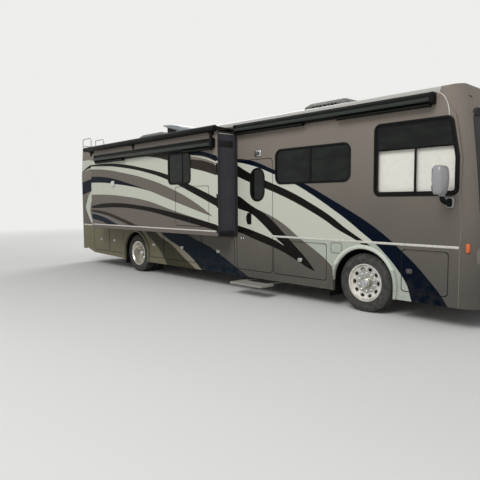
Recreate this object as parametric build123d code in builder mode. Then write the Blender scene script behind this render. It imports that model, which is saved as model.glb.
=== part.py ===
"""Class A motorhome with two slide-out rooms, in millimetres: +X forwards, +Y to the street side, +Z up."""

import os
from math import cos, radians, sin, sqrt

from build123d import *

os.makedirs("parts", exist_ok=True)

# Body
BODY_LENGTH = 11600.0
BODY_WIDTH = 2590.0
FRONT_OVERHANG = 1858.0
WHEELBASE = 6627.0
LADDER_REACH = 100.0
SKIRT_Z = 291.0
DOOR_SILL_Z = 430.0
BELT_Z = 1112.0
ROOF_EDGE_Z = 3300.0
ROOF_EDGE_R = 90.0
ROOF_CROWN = 62.0
WALL_T = 50.0
SKIRT_T = 30.0
ROOF_T = 60.0
CAP_T = 30.0
DECK_Z = 1040.0
DECK_T = 70.0
PANEL_GAP = 6.0
FIT = 0.3
CUT_REACH = 4000.0

# Wheels
TYRE_R = 465.0
TYRE_WIDTH = 255.0
BEAD_R = 286.0
FRONT_TRACK_HALF = 1112.0
DUAL_TRACK_HALF = 950.0
DUAL_SPACING = 335.0
ARCH_R = 540.0
ARCH_LIP = 62.0
ARCH_LIP_PROUD = 24.0

HALF = BODY_WIDTH / 2
BODY_REAR = LADDER_REACH - (BODY_LENGTH + LADDER_REACH) / 2
BODY_FRONT = BODY_REAR + BODY_LENGTH
FRONT_AXLE_X = BODY_FRONT - FRONT_OVERHANG
REAR_AXLE_X = FRONT_AXLE_X - WHEELBASE
WALL_TOP_Z = ROOF_EDGE_Z - ROOF_EDGE_R
CURB, STREET = -1, 1
SIDES = {"curb": CURB, "street": STREET}


def at(x):
    """The X of a place measured forwards from the front axle."""
    return FRONT_AXLE_X + x


# Seam between the front cap and the walls: distance from the front axle, height
FRONT_SEAM = [(1502.0, SKIRT_Z), (1502.0, 2330.0), (1405.0, 2880.0), (1180.0, WALL_TOP_Z)]
REAR_SEAM_X = BODY_REAR + 392.0
ROOF_FRONT_X = at(FRONT_SEAM[-1][0])


def write(piece, name):
    """Label a finished piece and write it to its own file."""
    piece.label = name
    export_step(piece, f"parts/{name}.step")


def tail(x):
    """The X of a place measured forwards from the rear of the body."""
    return BODY_REAR + x


def side_plane(side, y):
    """A sketch plane along a side: local x is X, local y is Z. side * depth extrudes inwards."""
    return Plane.XZ.offset(-side * y)


def slab(x0, x1, y0, y1, z0, z1, mode=Mode.ADD):
    """A block between two corners, added to the piece being built."""
    with Locations(((x0 + x1) / 2, (y0 + y1) / 2, (z0 + z1) / 2)):
        Box(abs(x1 - x0), abs(y1 - y0), abs(z1 - z0), mode=mode)


def panel(x0, x1, z0, z1, radius, mode=Mode.ADD):
    """A rounded rectangle in a sketch on a side plane."""
    with Locations(((x0 + x1) / 2, (z0 + z1) / 2)):
        RectangleRounded(x1 - x0, z1 - z0, radius, mode=mode)


def body_outline(inset, low):
    """The closed cross-section of walls and arched roof, in a line block on a YZ plane."""
    half, top, r = HALF - inset, ROOF_EDGE_Z - inset, ROOF_EDGE_R - inset
    dip = r * (1 - cos(radians(45)))
    Polyline((half, top - r), (half, low), (-half, low), (-half, top - r))
    ThreePointArc((-half, top - r), (-half + dip, top - dip), (-half + r, top))
    ThreePointArc((-half + r, top), (0, top + ROOF_CROWN), (half - r, top))
    ThreePointArc((half - r, top), (half - dip, top - dip), (half, top - r))


def nose_outline(front, corner_r, bow_r, inset, back):
    """The plan of a rounded end: straight sides, corner arcs and a bowed front that meet in tangents."""
    half, r, bow = HALF - inset, corner_r - inset, bow_r - inset
    bow_x = front - bow_r
    reach = sqrt((bow_r - corner_r) ** 2 - (HALF - corner_r) ** 2)
    corner_x = bow_x + reach
    ux, uy = reach / (bow_r - corner_r), (HALF - corner_r) / (bow_r - corner_r)
    tip = (bow_x + bow * ux, bow * uy)
    mid_x, mid_y = ux, uy + 1
    length = sqrt(mid_x**2 + mid_y**2)
    mid = (corner_x + r * mid_x / length, HALF - corner_r + r * mid_y / length)
    Polyline((corner_x, -half), (back, -half), (back, half), (corner_x, half))
    ThreePointArc((corner_x, half), mid, tip)
    ThreePointArc(tip, (front - inset, 0), (tip[0], -tip[1]))
    ThreePointArc((tip[0], -tip[1]), (mid[0], -mid[1]), (corner_x, -half))


# Front cap: bow of the front in plan, then its slope as height and set-back from the foremost plane
FRONT_CORNER_R = 250.0
FRONT_BOW_R = 6000.0
FRONT_STAGES = [(SKIRT_Z, 0.0), (1420.0, 0.0), (2930.0, 246.0), (3500.0, 380.0)]
BROW_START = (BODY_FRONT - 246.0, 2930.0)
BROW_MID = (BODY_FRONT - 350.0, 3250.0)
BROW_END = (BODY_FRONT - 610.0, ROOF_EDGE_Z + ROOF_CROWN + 1.0)
BROW = (BROW_START, BROW_MID, BROW_END)
# Rear cap
REAR_CORNER_R = 190.0
REAR_BOW_R = 9000.0
REAR_STAGES = [(SKIRT_Z, 0.0), (2500.0, 0.0), (3500.0, 130.0)]
REAR_BROW_START = (-BODY_REAR - 68.9, 3030.0)
REAR_BROW_MID = (-BODY_REAR - 118.0, 3265.0)
REAR_BROW_END = (-BODY_REAR - 350.0, ROOF_EDGE_Z + ROOF_CROWN + 1.0)
REAR_BROW = (REAR_BROW_START, REAR_BROW_MID, REAR_BROW_END)


def nose_block(front, corner_r, bow_r, stages, brow, inset):
    """A solid rounded end of the body, as if filled, with every face set in by inset."""
    back = front - HALF
    behind = front - BODY_WIDTH
    ahead = front + WALL_T
    with BuildPart() as block:
        for (z0, set0), (z1, set1) in zip(stages, stages[1:]):
            with BuildSketch(Plane.XY.offset(z0)):
                with BuildLine():
                    nose_outline(front - set0, corner_r, bow_r, inset, back)
                make_face()
            lean = Vector(set0 - set1, 0, z1 - z0)
            extrude(dir=lean.normalized(), amount=lean.length)
        with BuildSketch(Plane.YZ.offset(behind)):
            with BuildLine():
                body_outline(inset, 0)
            make_face()
        extrude(amount=ahead - behind, mode=Mode.INTERSECT)
        start, mid, end = [(x - inset, z - inset * k) for (x, z), k in zip(brow, (0, 0.7, 1))]
        with BuildSketch(Plane.XZ):
            with BuildLine():
                Polyline(end, (behind, end[1]), (behind, 0), (ahead, 0), (ahead, start[1]), start)
                ThreePointArc(start, mid, end)
            make_face()
        extrude(amount=HALF + WALL_T, both=True, mode=Mode.INTERSECT)
    return block.part


def front_block(inset):
    """The filled front end, set in by inset."""
    return nose_block(BODY_FRONT, FRONT_CORNER_R, FRONT_BOW_R, FRONT_STAGES, BROW, inset)


def rear_block(inset):
    """The filled rear end, set in by inset."""
    return mirror(
        nose_block(-BODY_REAR, REAR_CORNER_R, REAR_BOW_R, REAR_STAGES, REAR_BROW, inset), about=Plane.YZ
    )


# What lies ahead of the front cap's seam
with BuildPart() as cap_zone:
    with BuildSketch(Plane.XZ):
        with BuildLine():
            seam_points = [(at(x), z) for x, z in FRONT_SEAM]
            ahead = BODY_FRONT + WALL_T
            over = [(ROOF_FRONT_X, CUT_REACH), (ahead, CUT_REACH), (ahead, 0)]
            Polyline((seam_points[0][0], 0), *seam_points, *over, close=True)
        make_face()
    extrude(amount=HALF + WALL_T, both=True)


PRISM_DEPTH = 1000.0


def end_prism(x, y0, y1, z0, z1, radius):
    """A rounded rectangle seen from ahead or behind, drawn at x and drawn out forwards."""
    with BuildPart() as prism:
        with BuildSketch(Plane.YZ.offset(x)):
            with Locations(((y0 + y1) / 2, (z0 + z1) / 2)):
                RectangleRounded(abs(y1 - y0), z1 - z0, radius)
        extrude(amount=PRISM_DEPTH)
    return prism.part


# Windshield, lamps and grille: half-width or y range, heights, corner radius
SCREEN = dict(y0=-1190.0, y1=1190.0, z0=1500.0, z1=2900.0, radius=110.0)
HEADLAMP_Y = (760.0, 1215.0)
HEADLAMP_Z = (900.0, 1110.0)
HEADLAMP_R = 40.0
GRILLE_HALF = 640.0
GRILLE_Z = (470.0, 850.0)
GRILLE_R = 60.0
GRILLE_FRAME = 30.0
GRILLE_BARS = 5
GRILLE_BAR_T = 26.0
GLASS_SET = 8.0
GLASS_T = 8.0

# Front cap
NOSE_CUT_X = BODY_FRONT - 660
outer_nose = front_block(0)
inner_nose = front_block(CAP_T)
glass_nose = front_block(GLASS_SET)
glass_back = front_block(GLASS_SET + GLASS_T)
screen_prism = end_prism(NOSE_CUT_X, **SCREEN)
headlamp_prisms = [
    end_prism(NOSE_CUT_X, side * HEADLAMP_Y[0], side * HEADLAMP_Y[1], *HEADLAMP_Z, HEADLAMP_R)
    for side in SIDES.values()
]
with BuildPart() as front_cap:
    add(outer_nose)
    add(inner_nose, mode=Mode.SUBTRACT)
    add(cap_zone.part, mode=Mode.INTERSECT)
    add(screen_prism, mode=Mode.SUBTRACT)
    add(end_prism(NOSE_CUT_X, -GRILLE_HALF, GRILLE_HALF, *GRILLE_Z, GRILLE_R), mode=Mode.SUBTRACT)
    add(headlamp_prisms, mode=Mode.SUBTRACT)
write(front_cap.part, "front_cap")

with BuildPart() as windshield:
    add(glass_nose)
    add(glass_back, mode=Mode.SUBTRACT)
    add(screen_prism, mode=Mode.INTERSECT)
write(windshield.part, "windshield")

with BuildPart() as headlamps:
    add(headlamp_prisms)
    add(outer_nose, mode=Mode.INTERSECT)
    add(inner_nose, mode=Mode.SUBTRACT)
with BuildPart() as grille_frame:
    add(outer_nose)
    add(inner_nose, mode=Mode.SUBTRACT)
    with BuildSketch(Plane.YZ.offset(NOSE_CUT_X)):
        tall, wide = GRILLE_Z[1] - GRILLE_Z[0], 2 * GRILLE_HALF
        with Locations((0, sum(GRILLE_Z) / 2)):
            RectangleRounded(wide, tall, GRILLE_R)
            inner = (wide - 2 * GRILLE_FRAME, tall - 2 * GRILLE_FRAME)
            RectangleRounded(*inner, GRILLE_R - GRILLE_FRAME, mode=Mode.SUBTRACT)
    extrude(amount=PRISM_DEPTH, mode=Mode.INTERSECT)
with BuildPart() as front_grille:
    add(glass_nose)
    add(glass_back, mode=Mode.SUBTRACT)
    with BuildSketch(Plane.YZ.offset(NOSE_CUT_X)):
        with Locations((0, sum(GRILLE_Z) / 2)):
            with GridLocations(0, tall / (GRILLE_BARS + 1), 1, GRILLE_BARS):
                Rectangle(wide - GRILLE_FRAME, GRILLE_BAR_T)
    extrude(amount=PRISM_DEPTH, mode=Mode.INTERSECT)
    add(grille_frame.part)
write(front_grille.part, "front_grille")

# Engine hatch and tail lamps in the rear cap: half-width or y range, heights
HATCH_HALF = 820.0
HATCH_Z = (560.0, 1370.0)
HATCH_R = 60.0
TAIL_Y = (1010.0, 1180.0)
TAIL_Z = (980.0, 1460.0)
TAIL_R = 40.0
REAR_LOW_Z = 420.0

outer_tail = rear_block(0)
inner_tail = rear_block(CAP_T)
TAIL_CUT_X = BODY_REAR - PRISM_DEPTH + 150
tail_prisms = [
    end_prism(TAIL_CUT_X, side * TAIL_Y[0], side * TAIL_Y[1], *TAIL_Z, TAIL_R) for side in SIDES.values()
]
with BuildPart() as rear_cap:
    add(outer_tail)
    add(inner_tail, mode=Mode.SUBTRACT)
    slab(REAR_SEAM_X, 0, -BODY_WIDTH, BODY_WIDTH, 0, CUT_REACH, mode=Mode.SUBTRACT)
    slab(-BODY_LENGTH, 0, -BODY_WIDTH, BODY_WIDTH, 0, REAR_LOW_Z, mode=Mode.SUBTRACT)
    add(end_prism(TAIL_CUT_X, -HATCH_HALF, HATCH_HALF, *HATCH_Z, HATCH_R), mode=Mode.SUBTRACT)
    add(tail_prisms, mode=Mode.SUBTRACT)
write(rear_cap.part, "rear_cap")

with BuildPart() as tail_lamps:
    add(tail_prisms)
    add(outer_tail, mode=Mode.INTERSECT)
    add(inner_tail, mode=Mode.SUBTRACT)

with BuildPart() as lamps:
    add(headlamps.part)
    add(tail_lamps.part)
write(lamps.part, "lamps")

HINGE_R = PANEL_GAP - FIT
HATCH_HINGE_LENGTH = 520.0
hatch_span = HATCH_HALF - PANEL_GAP
with BuildPart() as engine_hatch:
    hatch_z = (HATCH_Z[0] + PANEL_GAP, HATCH_Z[1] - PANEL_GAP)
    add(end_prism(TAIL_CUT_X, -hatch_span, hatch_span, *hatch_z, HATCH_R))
    add(outer_tail, mode=Mode.INTERSECT)
    add(inner_tail, mode=Mode.SUBTRACT)
    with Locations(Location((BODY_REAR, 0, HATCH_Z[1] - PANEL_GAP), (90, 0, 0))):
        Cylinder(HINGE_R, HATCH_HINGE_LENGTH)
write(engine_hatch.part, "engine_hatch")

# Roof, with the raised rim of its vent
VENT_X = (-5950.0, -5200.0)
VENT_HALF = 330.0
VENT_CENTRE_Y = -560.0
VENT_BASE_Z = ROOF_EDGE_Z + ROOF_CROWN + 10
VENT_OPEN_DEG = 14.0
LID_T = 60.0
VENT_RIM = 60.0
LID_RIM = 8.0
LID_CORNER_R = 60.0
LID_SKIRT = 12.0
LID_HINGE_R = 8.0
LID_HINGE_HALF = 200.0
LID_LUG = 25.0
LID_LUG_HALF = 12.0
LID_START = 22.0
LID_AXIS_Z = VENT_BASE_Z + 22
LID_AXIS_X = at(VENT_X[1]) - 14
with BuildPart() as roof_shell:
    with BuildSketch(Plane.YZ.offset(REAR_SEAM_X)):
        with BuildLine():
            body_outline(0, BELT_Z)
        make_face()
        with BuildLine():
            body_outline(ROOF_T, BELT_Z - 1)
        make_face(mode=Mode.SUBTRACT)
    extrude(amount=ROOF_FRONT_X - REAR_SEAM_X)
    slab(REAR_SEAM_X, ROOF_FRONT_X, -HALF, HALF, 0, WALL_TOP_Z, mode=Mode.SUBTRACT)
    vent_y = (VENT_CENTRE_Y - VENT_HALF, VENT_CENTRE_Y + VENT_HALF)
    slab(at(VENT_X[0]), at(VENT_X[1]), *vent_y, ROOF_EDGE_Z, VENT_BASE_Z)
    vent_hole = (at(VENT_X[0]) + VENT_RIM, at(VENT_X[1]) - VENT_RIM)
    slab(*vent_hole, vent_y[0] + VENT_RIM, vent_y[1] - VENT_RIM, 0, VENT_BASE_Z, mode=Mode.SUBTRACT)
    for y in (VENT_CENTRE_Y - LID_HINGE_HALF - FIT - LID_LUG, VENT_CENTRE_Y + LID_HINGE_HALF + FIT):
        lug_x = (LID_AXIS_X - LID_LUG_HALF, LID_AXIS_X + LID_LUG_HALF)
        slab(*lug_x, y, y + LID_LUG, VENT_BASE_Z, LID_AXIS_Z + LID_HINGE_R)
write(roof_shell.part, "roof_shell")

# Windows: side, rear and front x from the front axle, z, corner radius, set-back of the upper front corner
REAR_WINDOW = (REAR_SEAM_X - FRONT_AXLE_X + 750, REAR_SEAM_X - FRONT_AXLE_X + 1850)
SIDE_WINDOWS = {
    "cab_curb": (CURB, 200.0, 1452.0, 1832.0, 2860.0, 80.0, 95.0),
    "dinette_curb": (CURB, -1830.0, -260.0, 2070.0, 2650.0, 110.0, 0.0),
    "cab_street": (STREET, 200.0, 1452.0, 1832.0, 2860.0, 80.0, 95.0),
    "rear_street": (STREET, REAR_WINDOW[0], REAR_WINDOW[1], 2070.0, 2650.0, 110.0, 0.0),
}
SLANT_Z = 2330.0
FRAME_PROUD = 8.0
FRAME_WIDTH = 20.0


def window_face(x0, x1, z0, z1, radius, set_back):
    """A window opening as a flat sketch."""
    with BuildSketch() as face:
        with BuildLine():
            corners = [(at(x0), z0), (at(x1), z0), (at(x1 - set_back), z1), (at(x0), z1)]
            if set_back:
                corners.insert(2, (at(x1), SLANT_Z))
            Polyline(*corners, close=True)
        make_face()
        fillet(face.vertices(), radius)
    return face.sketch


window_faces = {name: window_face(*row[1:]) for name, row in SIDE_WINDOWS.items()}
frame_faces = {name: offset(face, amount=FRAME_WIDTH) for name, face in window_faces.items()}

# Slide-out rooms: rear and front x from the front axle
SLIDES = {"curb": (-7957.0, -2923.0), "street": (-5900.0, -700.0)}
SLIDE_Z = (1125.0, 3080.0)
SLIDE_OUT = 480.0
SLIDE_DEPTH = 640.0
SLIDE_WALL = 40.0
SLIDE_FLANGE = 35.0
SLIDE_FLANGE_T = 24.0
SLIDE_CLEAR = 8.0
SLIDE_HOLE_R = 20.0
SLIDE_R = 15.0
SLIDE_INNER_R = 5.0
SLIDE_FLANGE_R = 30.0
SLIDE_FACE_Y = HALF + SLIDE_OUT

# Entry door: rear and front x from the front axle, low and high z
DOOR = (-2885.0, -1925.0, DOOR_SILL_Z, 2530.0)
DOOR_R = 90.0
DOOR_T = 45.0


def door_opening(mode):
    panel(at(DOOR[0]), at(DOOR[1]), DOOR[2], DOOR[3], DOOR_R, mode)


for name, side in SIDES.items():
    with BuildPart() as side_wall:
        with BuildSketch(side_plane(side, HALF)):
            with BuildLine():
                seam = [(at(x), max(z, BELT_Z)) for x, z in FRONT_SEAM]
                Polyline((REAR_SEAM_X, BELT_Z), *seam, (REAR_SEAM_X, WALL_TOP_Z), close=True)
            make_face()
            for window, row in SIDE_WINDOWS.items():
                if row[0] == side:
                    add(window_faces[window], mode=Mode.SUBTRACT)
            x0, x1 = SLIDES[name]
            hole_z = (SLIDE_Z[0] - SLIDE_CLEAR, SLIDE_Z[1] + SLIDE_CLEAR)
            panel(at(x0) - SLIDE_CLEAR, at(x1) + SLIDE_CLEAR, *hole_z, SLIDE_HOLE_R, Mode.SUBTRACT)
            if side == CURB:
                door_opening(Mode.SUBTRACT)
        extrude(amount=side * WALL_T)
        for window, row in SIDE_WINDOWS.items():
            if row[0] == side:
                with BuildSketch(side_plane(side, HALF)):
                    add(frame_faces[window])
                    add(window_faces[window], mode=Mode.SUBTRACT)
                extrude(amount=-side * FRAME_PROUD)
    write(side_wall.part, f"side_wall_{name}")

with BuildPart() as side_windows:
    for window, row in SIDE_WINDOWS.items():
        with BuildSketch(side_plane(row[0], HALF - GLASS_SET)):
            add(window_faces[window])
        extrude(amount=row[0] * GLASS_T)
write(side_windows.part, "side_windows")

# Bay doors: rear and front x from the front axle; those behind the drive wheels fill the space to the tail
BAY_SPLIT = 20.0
REAR_BAY = (REAR_SEAM_X - FRONT_AXLE_X + 510, -WHEELBASE - ARCH_R - 83)
rear_split = REAR_BAY[0] + 0.54 * (REAR_BAY[1] - REAR_BAY[0])
BAY_DOORS = {
    "curb": [
        (REAR_BAY[0], rear_split - BAY_SPLIT / 2), (rear_split + BAY_SPLIT / 2, REAR_BAY[1]),
        (-6020.0, -5430.0), (-5400.0, -4010.0), (-3980.0, -2960.0), (-1890.0, -700.0), (660.0, 1350.0),
    ],
    "street": [REAR_BAY, (-6020.0, -4270.0), (-4240.0, -2490.0), (-2460.0, -700.0), (660.0, 1350.0)],
}
BAY_TOP_Z = 1035.0
BAY_R = 45.0
REAR_SKIRT = [(0.0, 470.0), (500.0, 340.0), (2100.0, SKIRT_Z)]

for name, side in SIDES.items():
    with BuildPart() as skirt:
        with BuildSketch(side_plane(side, HALF)):
            with BuildLine():
                low = [(REAR_SEAM_X + x, z) for x, z in REAR_SKIRT]
                front_x = at(FRONT_SEAM[0][0])
                Polyline(*low, (front_x, SKIRT_Z), (front_x, BELT_Z), (REAR_SEAM_X, BELT_Z), close=True)
            make_face()
            for x0, x1 in BAY_DOORS[name]:
                panel(at(x0), at(x1), DOOR_SILL_Z, BAY_TOP_Z, BAY_R, Mode.SUBTRACT)
            if side == CURB:
                door_opening(Mode.SUBTRACT)
        extrude(amount=side * SKIRT_T)
        with BuildSketch(side_plane(side, HALF)):
            with Locations((FRONT_AXLE_X, TYRE_R), (REAR_AXLE_X, TYRE_R)):
                Circle(ARCH_R + ARCH_LIP)
                with Locations((0, -TYRE_R)):
                    Rectangle(CUT_REACH, 2 * SKIRT_Z, mode=Mode.SUBTRACT)
        extrude(amount=-side * ARCH_LIP_PROUD)
        with BuildSketch(side_plane(side, HALF + 2 * ARCH_LIP_PROUD)):
            with Locations((FRONT_AXLE_X, TYRE_R), (REAR_AXLE_X, TYRE_R)):
                Circle(ARCH_R)
                with Locations((0, -TYRE_R / 2)):
                    Rectangle(2 * ARCH_R, TYRE_R)
        extrude(amount=side * (3 * ARCH_LIP_PROUD + SKIRT_T), mode=Mode.SUBTRACT)
    write(skirt.part, f"skirt_{name}")

    for number, (x0, x1) in enumerate(BAY_DOORS[name], 1):
        with BuildPart() as bay_door:
            with BuildSketch(side_plane(side, HALF)):
                door_z = (DOOR_SILL_Z + PANEL_GAP, BAY_TOP_Z - PANEL_GAP)
                panel(at(x0) + PANEL_GAP, at(x1) - PANEL_GAP, *door_z, BAY_R)
            extrude(amount=side * SKIRT_T)
            hinge = ((at(x0) + at(x1)) / 2, side * HALF, BAY_TOP_Z - PANEL_GAP)
            with Locations(Location(hinge, (0, 90, 0))):
                Cylinder(HINGE_R, x1 - x0 - 2 * BAY_R - 4 * PANEL_GAP)
        write(bay_door.part, f"bay_door_{name}_{number}")

# Entry door
DOOR_PANE = (-2480.0, -2140.0, 1770.0, 2350.0)
DOOR_PANE_R = 160.0
with BuildPart() as entry_door:
    with BuildSketch(side_plane(CURB, HALF)):
        leaf_z = (DOOR[2] + PANEL_GAP, DOOR[3] - PANEL_GAP)
        panel(at(DOOR[0]) + PANEL_GAP, at(DOOR[1]) - PANEL_GAP, *leaf_z, DOOR_R)
        panel(at(DOOR_PANE[0]), at(DOOR_PANE[1]), DOOR_PANE[2], DOOR_PANE[3], DOOR_PANE_R, Mode.SUBTRACT)
    extrude(amount=CURB * DOOR_T)
    with BuildSketch(side_plane(CURB, HALF)):
        panel(
            at(DOOR_PANE[0]) - FRAME_WIDTH, at(DOOR_PANE[1]) + FRAME_WIDTH, DOOR_PANE[2] - FRAME_WIDTH,
            DOOR_PANE[3] + FRAME_WIDTH, DOOR_PANE_R + FRAME_WIDTH,
        )
        panel(at(DOOR_PANE[0]), at(DOOR_PANE[1]), DOOR_PANE[2], DOOR_PANE[3], DOOR_PANE_R, Mode.SUBTRACT)
    extrude(amount=-CURB * FRAME_PROUD)
    with Locations((at(DOOR[1]) - PANEL_GAP, CURB * HALF, (DOOR[2] + DOOR[3]) / 2)):
        Cylinder(HINGE_R, DOOR[3] - DOOR[2] - 2 * DOOR_R - 4 * PANEL_GAP)
write(entry_door.part, "entry_door")

with BuildPart() as entry_door_glass:
    with BuildSketch(side_plane(CURB, HALF - GLASS_SET)):
        panel(at(DOOR_PANE[0]), at(DOOR_PANE[1]), DOOR_PANE[2], DOOR_PANE[3], DOOR_PANE_R)
    extrude(amount=CURB * GLASS_T)
write(entry_door_glass.part, "entry_door_glass")

# Slide-out rooms: windows as rear and front x from the front axle, low and high z, corner radius
SLIDE_WINDOWS = {
    "curb": [(-4480.0, -3740.0, 2130.0, 2740.0, 90.0)],
    "street": [(-5500.0, -4100.0, 1950.0, 2740.0, 90.0), (-2700.0, -1300.0, 1950.0, 2740.0, 90.0)],
}
MEDIA_HATCH = (-4250.0, -3160.0, 1260.0, 2050.0)
AWNING_CASE = {"curb": (-7600.0, -2960.0), "street": (-5750.0, -850.0)}
CASE_Z = (2765.0, 2945.0)
CASE_DEPTH = 110.0
CASE_BULGE = 110.0
TOPPER_R = 60.0
TOPPER_Z = 3118.0
TOPPER_OVER = 200.0
TOPPER_SHORT = 150.0
TOPPER_GAP = 8.0
TOPPER_ARM_X = (60.0, 120.0)
TOPPER_ARM = 60.0
TOPPER_ARM_DROP = 110.0

for name, side in SIDES.items():
    x0, x1 = SLIDES[name]
    z0, z1 = SLIDE_Z
    face_y = SLIDE_FACE_Y
    with BuildPart() as room:
        with BuildSketch(side_plane(side, face_y)):
            panel(at(x0), at(x1), z0, z1, SLIDE_R)
        extrude(amount=side * SLIDE_DEPTH)
        with BuildSketch(side_plane(side, face_y - SLIDE_WALL)):
            panel(at(x0) + SLIDE_WALL, at(x1) - SLIDE_WALL, z0 + SLIDE_WALL, z1 - SLIDE_WALL, SLIDE_INNER_R)
        extrude(amount=side * SLIDE_DEPTH, mode=Mode.SUBTRACT)
        with BuildSketch(side_plane(side, face_y)):
            flange_z = (z0 - SLIDE_FLANGE, z1 + SLIDE_FLANGE)
            panel(at(x0) - SLIDE_FLANGE, at(x1) + SLIDE_FLANGE, *flange_z, SLIDE_FLANGE_R)
        extrude(amount=side * SLIDE_FLANGE_T)
        with BuildSketch(side_plane(side, face_y)):
            for wx0, wx1, wz0, wz1, r in SLIDE_WINDOWS[name]:
                frame_z = (wz0 - FRAME_WIDTH, wz1 + FRAME_WIDTH)
                panel(at(wx0) - FRAME_WIDTH, at(wx1) + FRAME_WIDTH, *frame_z, r + FRAME_WIDTH)
        extrude(amount=-side * FRAME_PROUD)
        with BuildSketch(side_plane(side, face_y + FRAME_PROUD)):
            for wx0, wx1, wz0, wz1, r in SLIDE_WINDOWS[name]:
                panel(at(wx0), at(wx1), wz0, wz1, r)
            if side == CURB:
                panel(at(MEDIA_HATCH[0]), at(MEDIA_HATCH[1]), MEDIA_HATCH[2], MEDIA_HATCH[3], BAY_R)
        extrude(amount=side * (SLIDE_WALL + FRAME_PROUD), mode=Mode.SUBTRACT)
    write(room.part, f"slide_{name}_room")

    with BuildPart() as slide_glass:
        with BuildSketch(side_plane(side, face_y - GLASS_SET)):
            for wx0, wx1, wz0, wz1, r in SLIDE_WINDOWS[name]:
                panel(at(wx0), at(wx1), wz0, wz1, r)
        extrude(amount=side * GLASS_T)
    write(slide_glass.part, f"slide_{name}_glass")

    cx0, cx1 = AWNING_CASE[name]
    roller_y = face_y + TOPPER_R + TOPPER_GAP
    with BuildPart() as awnings:
        with BuildSketch(Plane.YZ.offset(at(cx0))):
            with BuildLine():
                high = (side * (face_y + CASE_DEPTH * 0.6), CASE_Z[1])
                low = (side * (face_y + CASE_DEPTH * 0.4), CASE_Z[0])
                Polyline(high, (side * face_y, CASE_Z[1]), (side * face_y, CASE_Z[0]), low)
                ThreePointArc(low, (side * (face_y + CASE_DEPTH), CASE_Z[0] + CASE_BULGE), high)
            make_face()
        extrude(amount=cx1 - cx0)
        with BuildSketch(Plane.YZ.offset(at(x0) - TOPPER_OVER)):
            with Locations((side * roller_y, TOPPER_Z)):
                Circle(TOPPER_R)
        extrude(amount=x1 - x0 + 2 * TOPPER_OVER - TOPPER_SHORT)
        for arm_x in (at(x0) + TOPPER_ARM_X[0], at(x1) - TOPPER_ARM_X[1]):
            arm_z = (TOPPER_Z - TOPPER_ARM_DROP, TOPPER_Z - 0.8 * TOPPER_R)
            slab(arm_x, arm_x + TOPPER_ARM, side * face_y, side * roller_y, *arm_z)
    write(awnings.part, f"slide_{name}_awnings")

with BuildPart() as media_hatch:
    hx0, hx1, hz0, hz1 = MEDIA_HATCH
    with BuildSketch(side_plane(CURB, SLIDE_FACE_Y)):
        panel(at(hx0) + PANEL_GAP, at(hx1) - PANEL_GAP, hz0 + PANEL_GAP, hz1 - PANEL_GAP, BAY_R)
    extrude(amount=CURB * SLIDE_WALL)
    with Locations(Location(((at(hx0) + at(hx1)) / 2, CURB * SLIDE_FACE_Y, hz1 - PANEL_GAP), (0, 90, 0))):
        Cylinder(HINGE_R, hx1 - hx0 - 2 * BAY_R - 4 * PANEL_GAP)
write(media_hatch.part, "media_hatch")

# Topper fabric over both slide-out rooms, from the wall to the roller
FABRIC_T = 4.0
FABRIC_HEM = 60.0
with BuildPart() as topper_fabric:
    for name, side in SIDES.items():
        x0, x1 = SLIDES[name]
        slab(
            at(x0) - TOPPER_OVER + FABRIC_HEM, at(x1) - FABRIC_HEM, side * (HALF + FIT),
            side * (SLIDE_FACE_Y + TOPPER_R + TOPPER_GAP),
            TOPPER_Z + TOPPER_R + FIT, TOPPER_Z + TOPPER_R + FIT + FABRIC_T,
        )
write(topper_fabric.part, "topper_fabric")

# Patio awning case under the roof edge
PATIO = (-2830.0, 1120.0)
PATIO_Z = (3050.0, 3205.0)
PATIO_DEPTH = 125.0
PATIO_BULGE = 80.0
with BuildPart() as patio_awning:
    with BuildSketch(Plane.YZ.offset(at(PATIO[0]))):
        with BuildLine():
            high = (CURB * (HALF + PATIO_DEPTH * 0.5), PATIO_Z[1])
            low = (CURB * (HALF + PATIO_DEPTH * 0.45), PATIO_Z[0])
            Polyline(high, (CURB * HALF, PATIO_Z[1]), (CURB * HALF, PATIO_Z[0]), low)
            ThreePointArc(low, (CURB * (HALF + PATIO_DEPTH), PATIO_Z[0] + PATIO_BULGE), high)
        make_face()
    extrude(amount=PATIO[1] - PATIO[0])
write(patio_awning.part, "patio_awning")

# Entry step, drawn out: rear and front x and arm places from the front axle
STEP_X = (-2670.0, -1840.0)
STEP_Y = (-1680.0, -1360.0)
STEP_Z = (205.0, 235.0)
STEP_ARM_X = (-2640.0, -1990.0)
STEP_ARM_HALF = 15.0
STEP_ARM_END_Y = -800.0
STEP_GUIDE_HALF = 6.0

# Floor deck with the entry steps, and the storage bays under it
INNER = HALF - WALL_T
STEPWELL = (-2850.0, -1960.0)
STEPWELL_Y = (-1240.0, -620.0)
STEP_RISE_Z = 740.0
PLATE = 20.0
BAY_INNER_Y = 500.0
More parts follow.
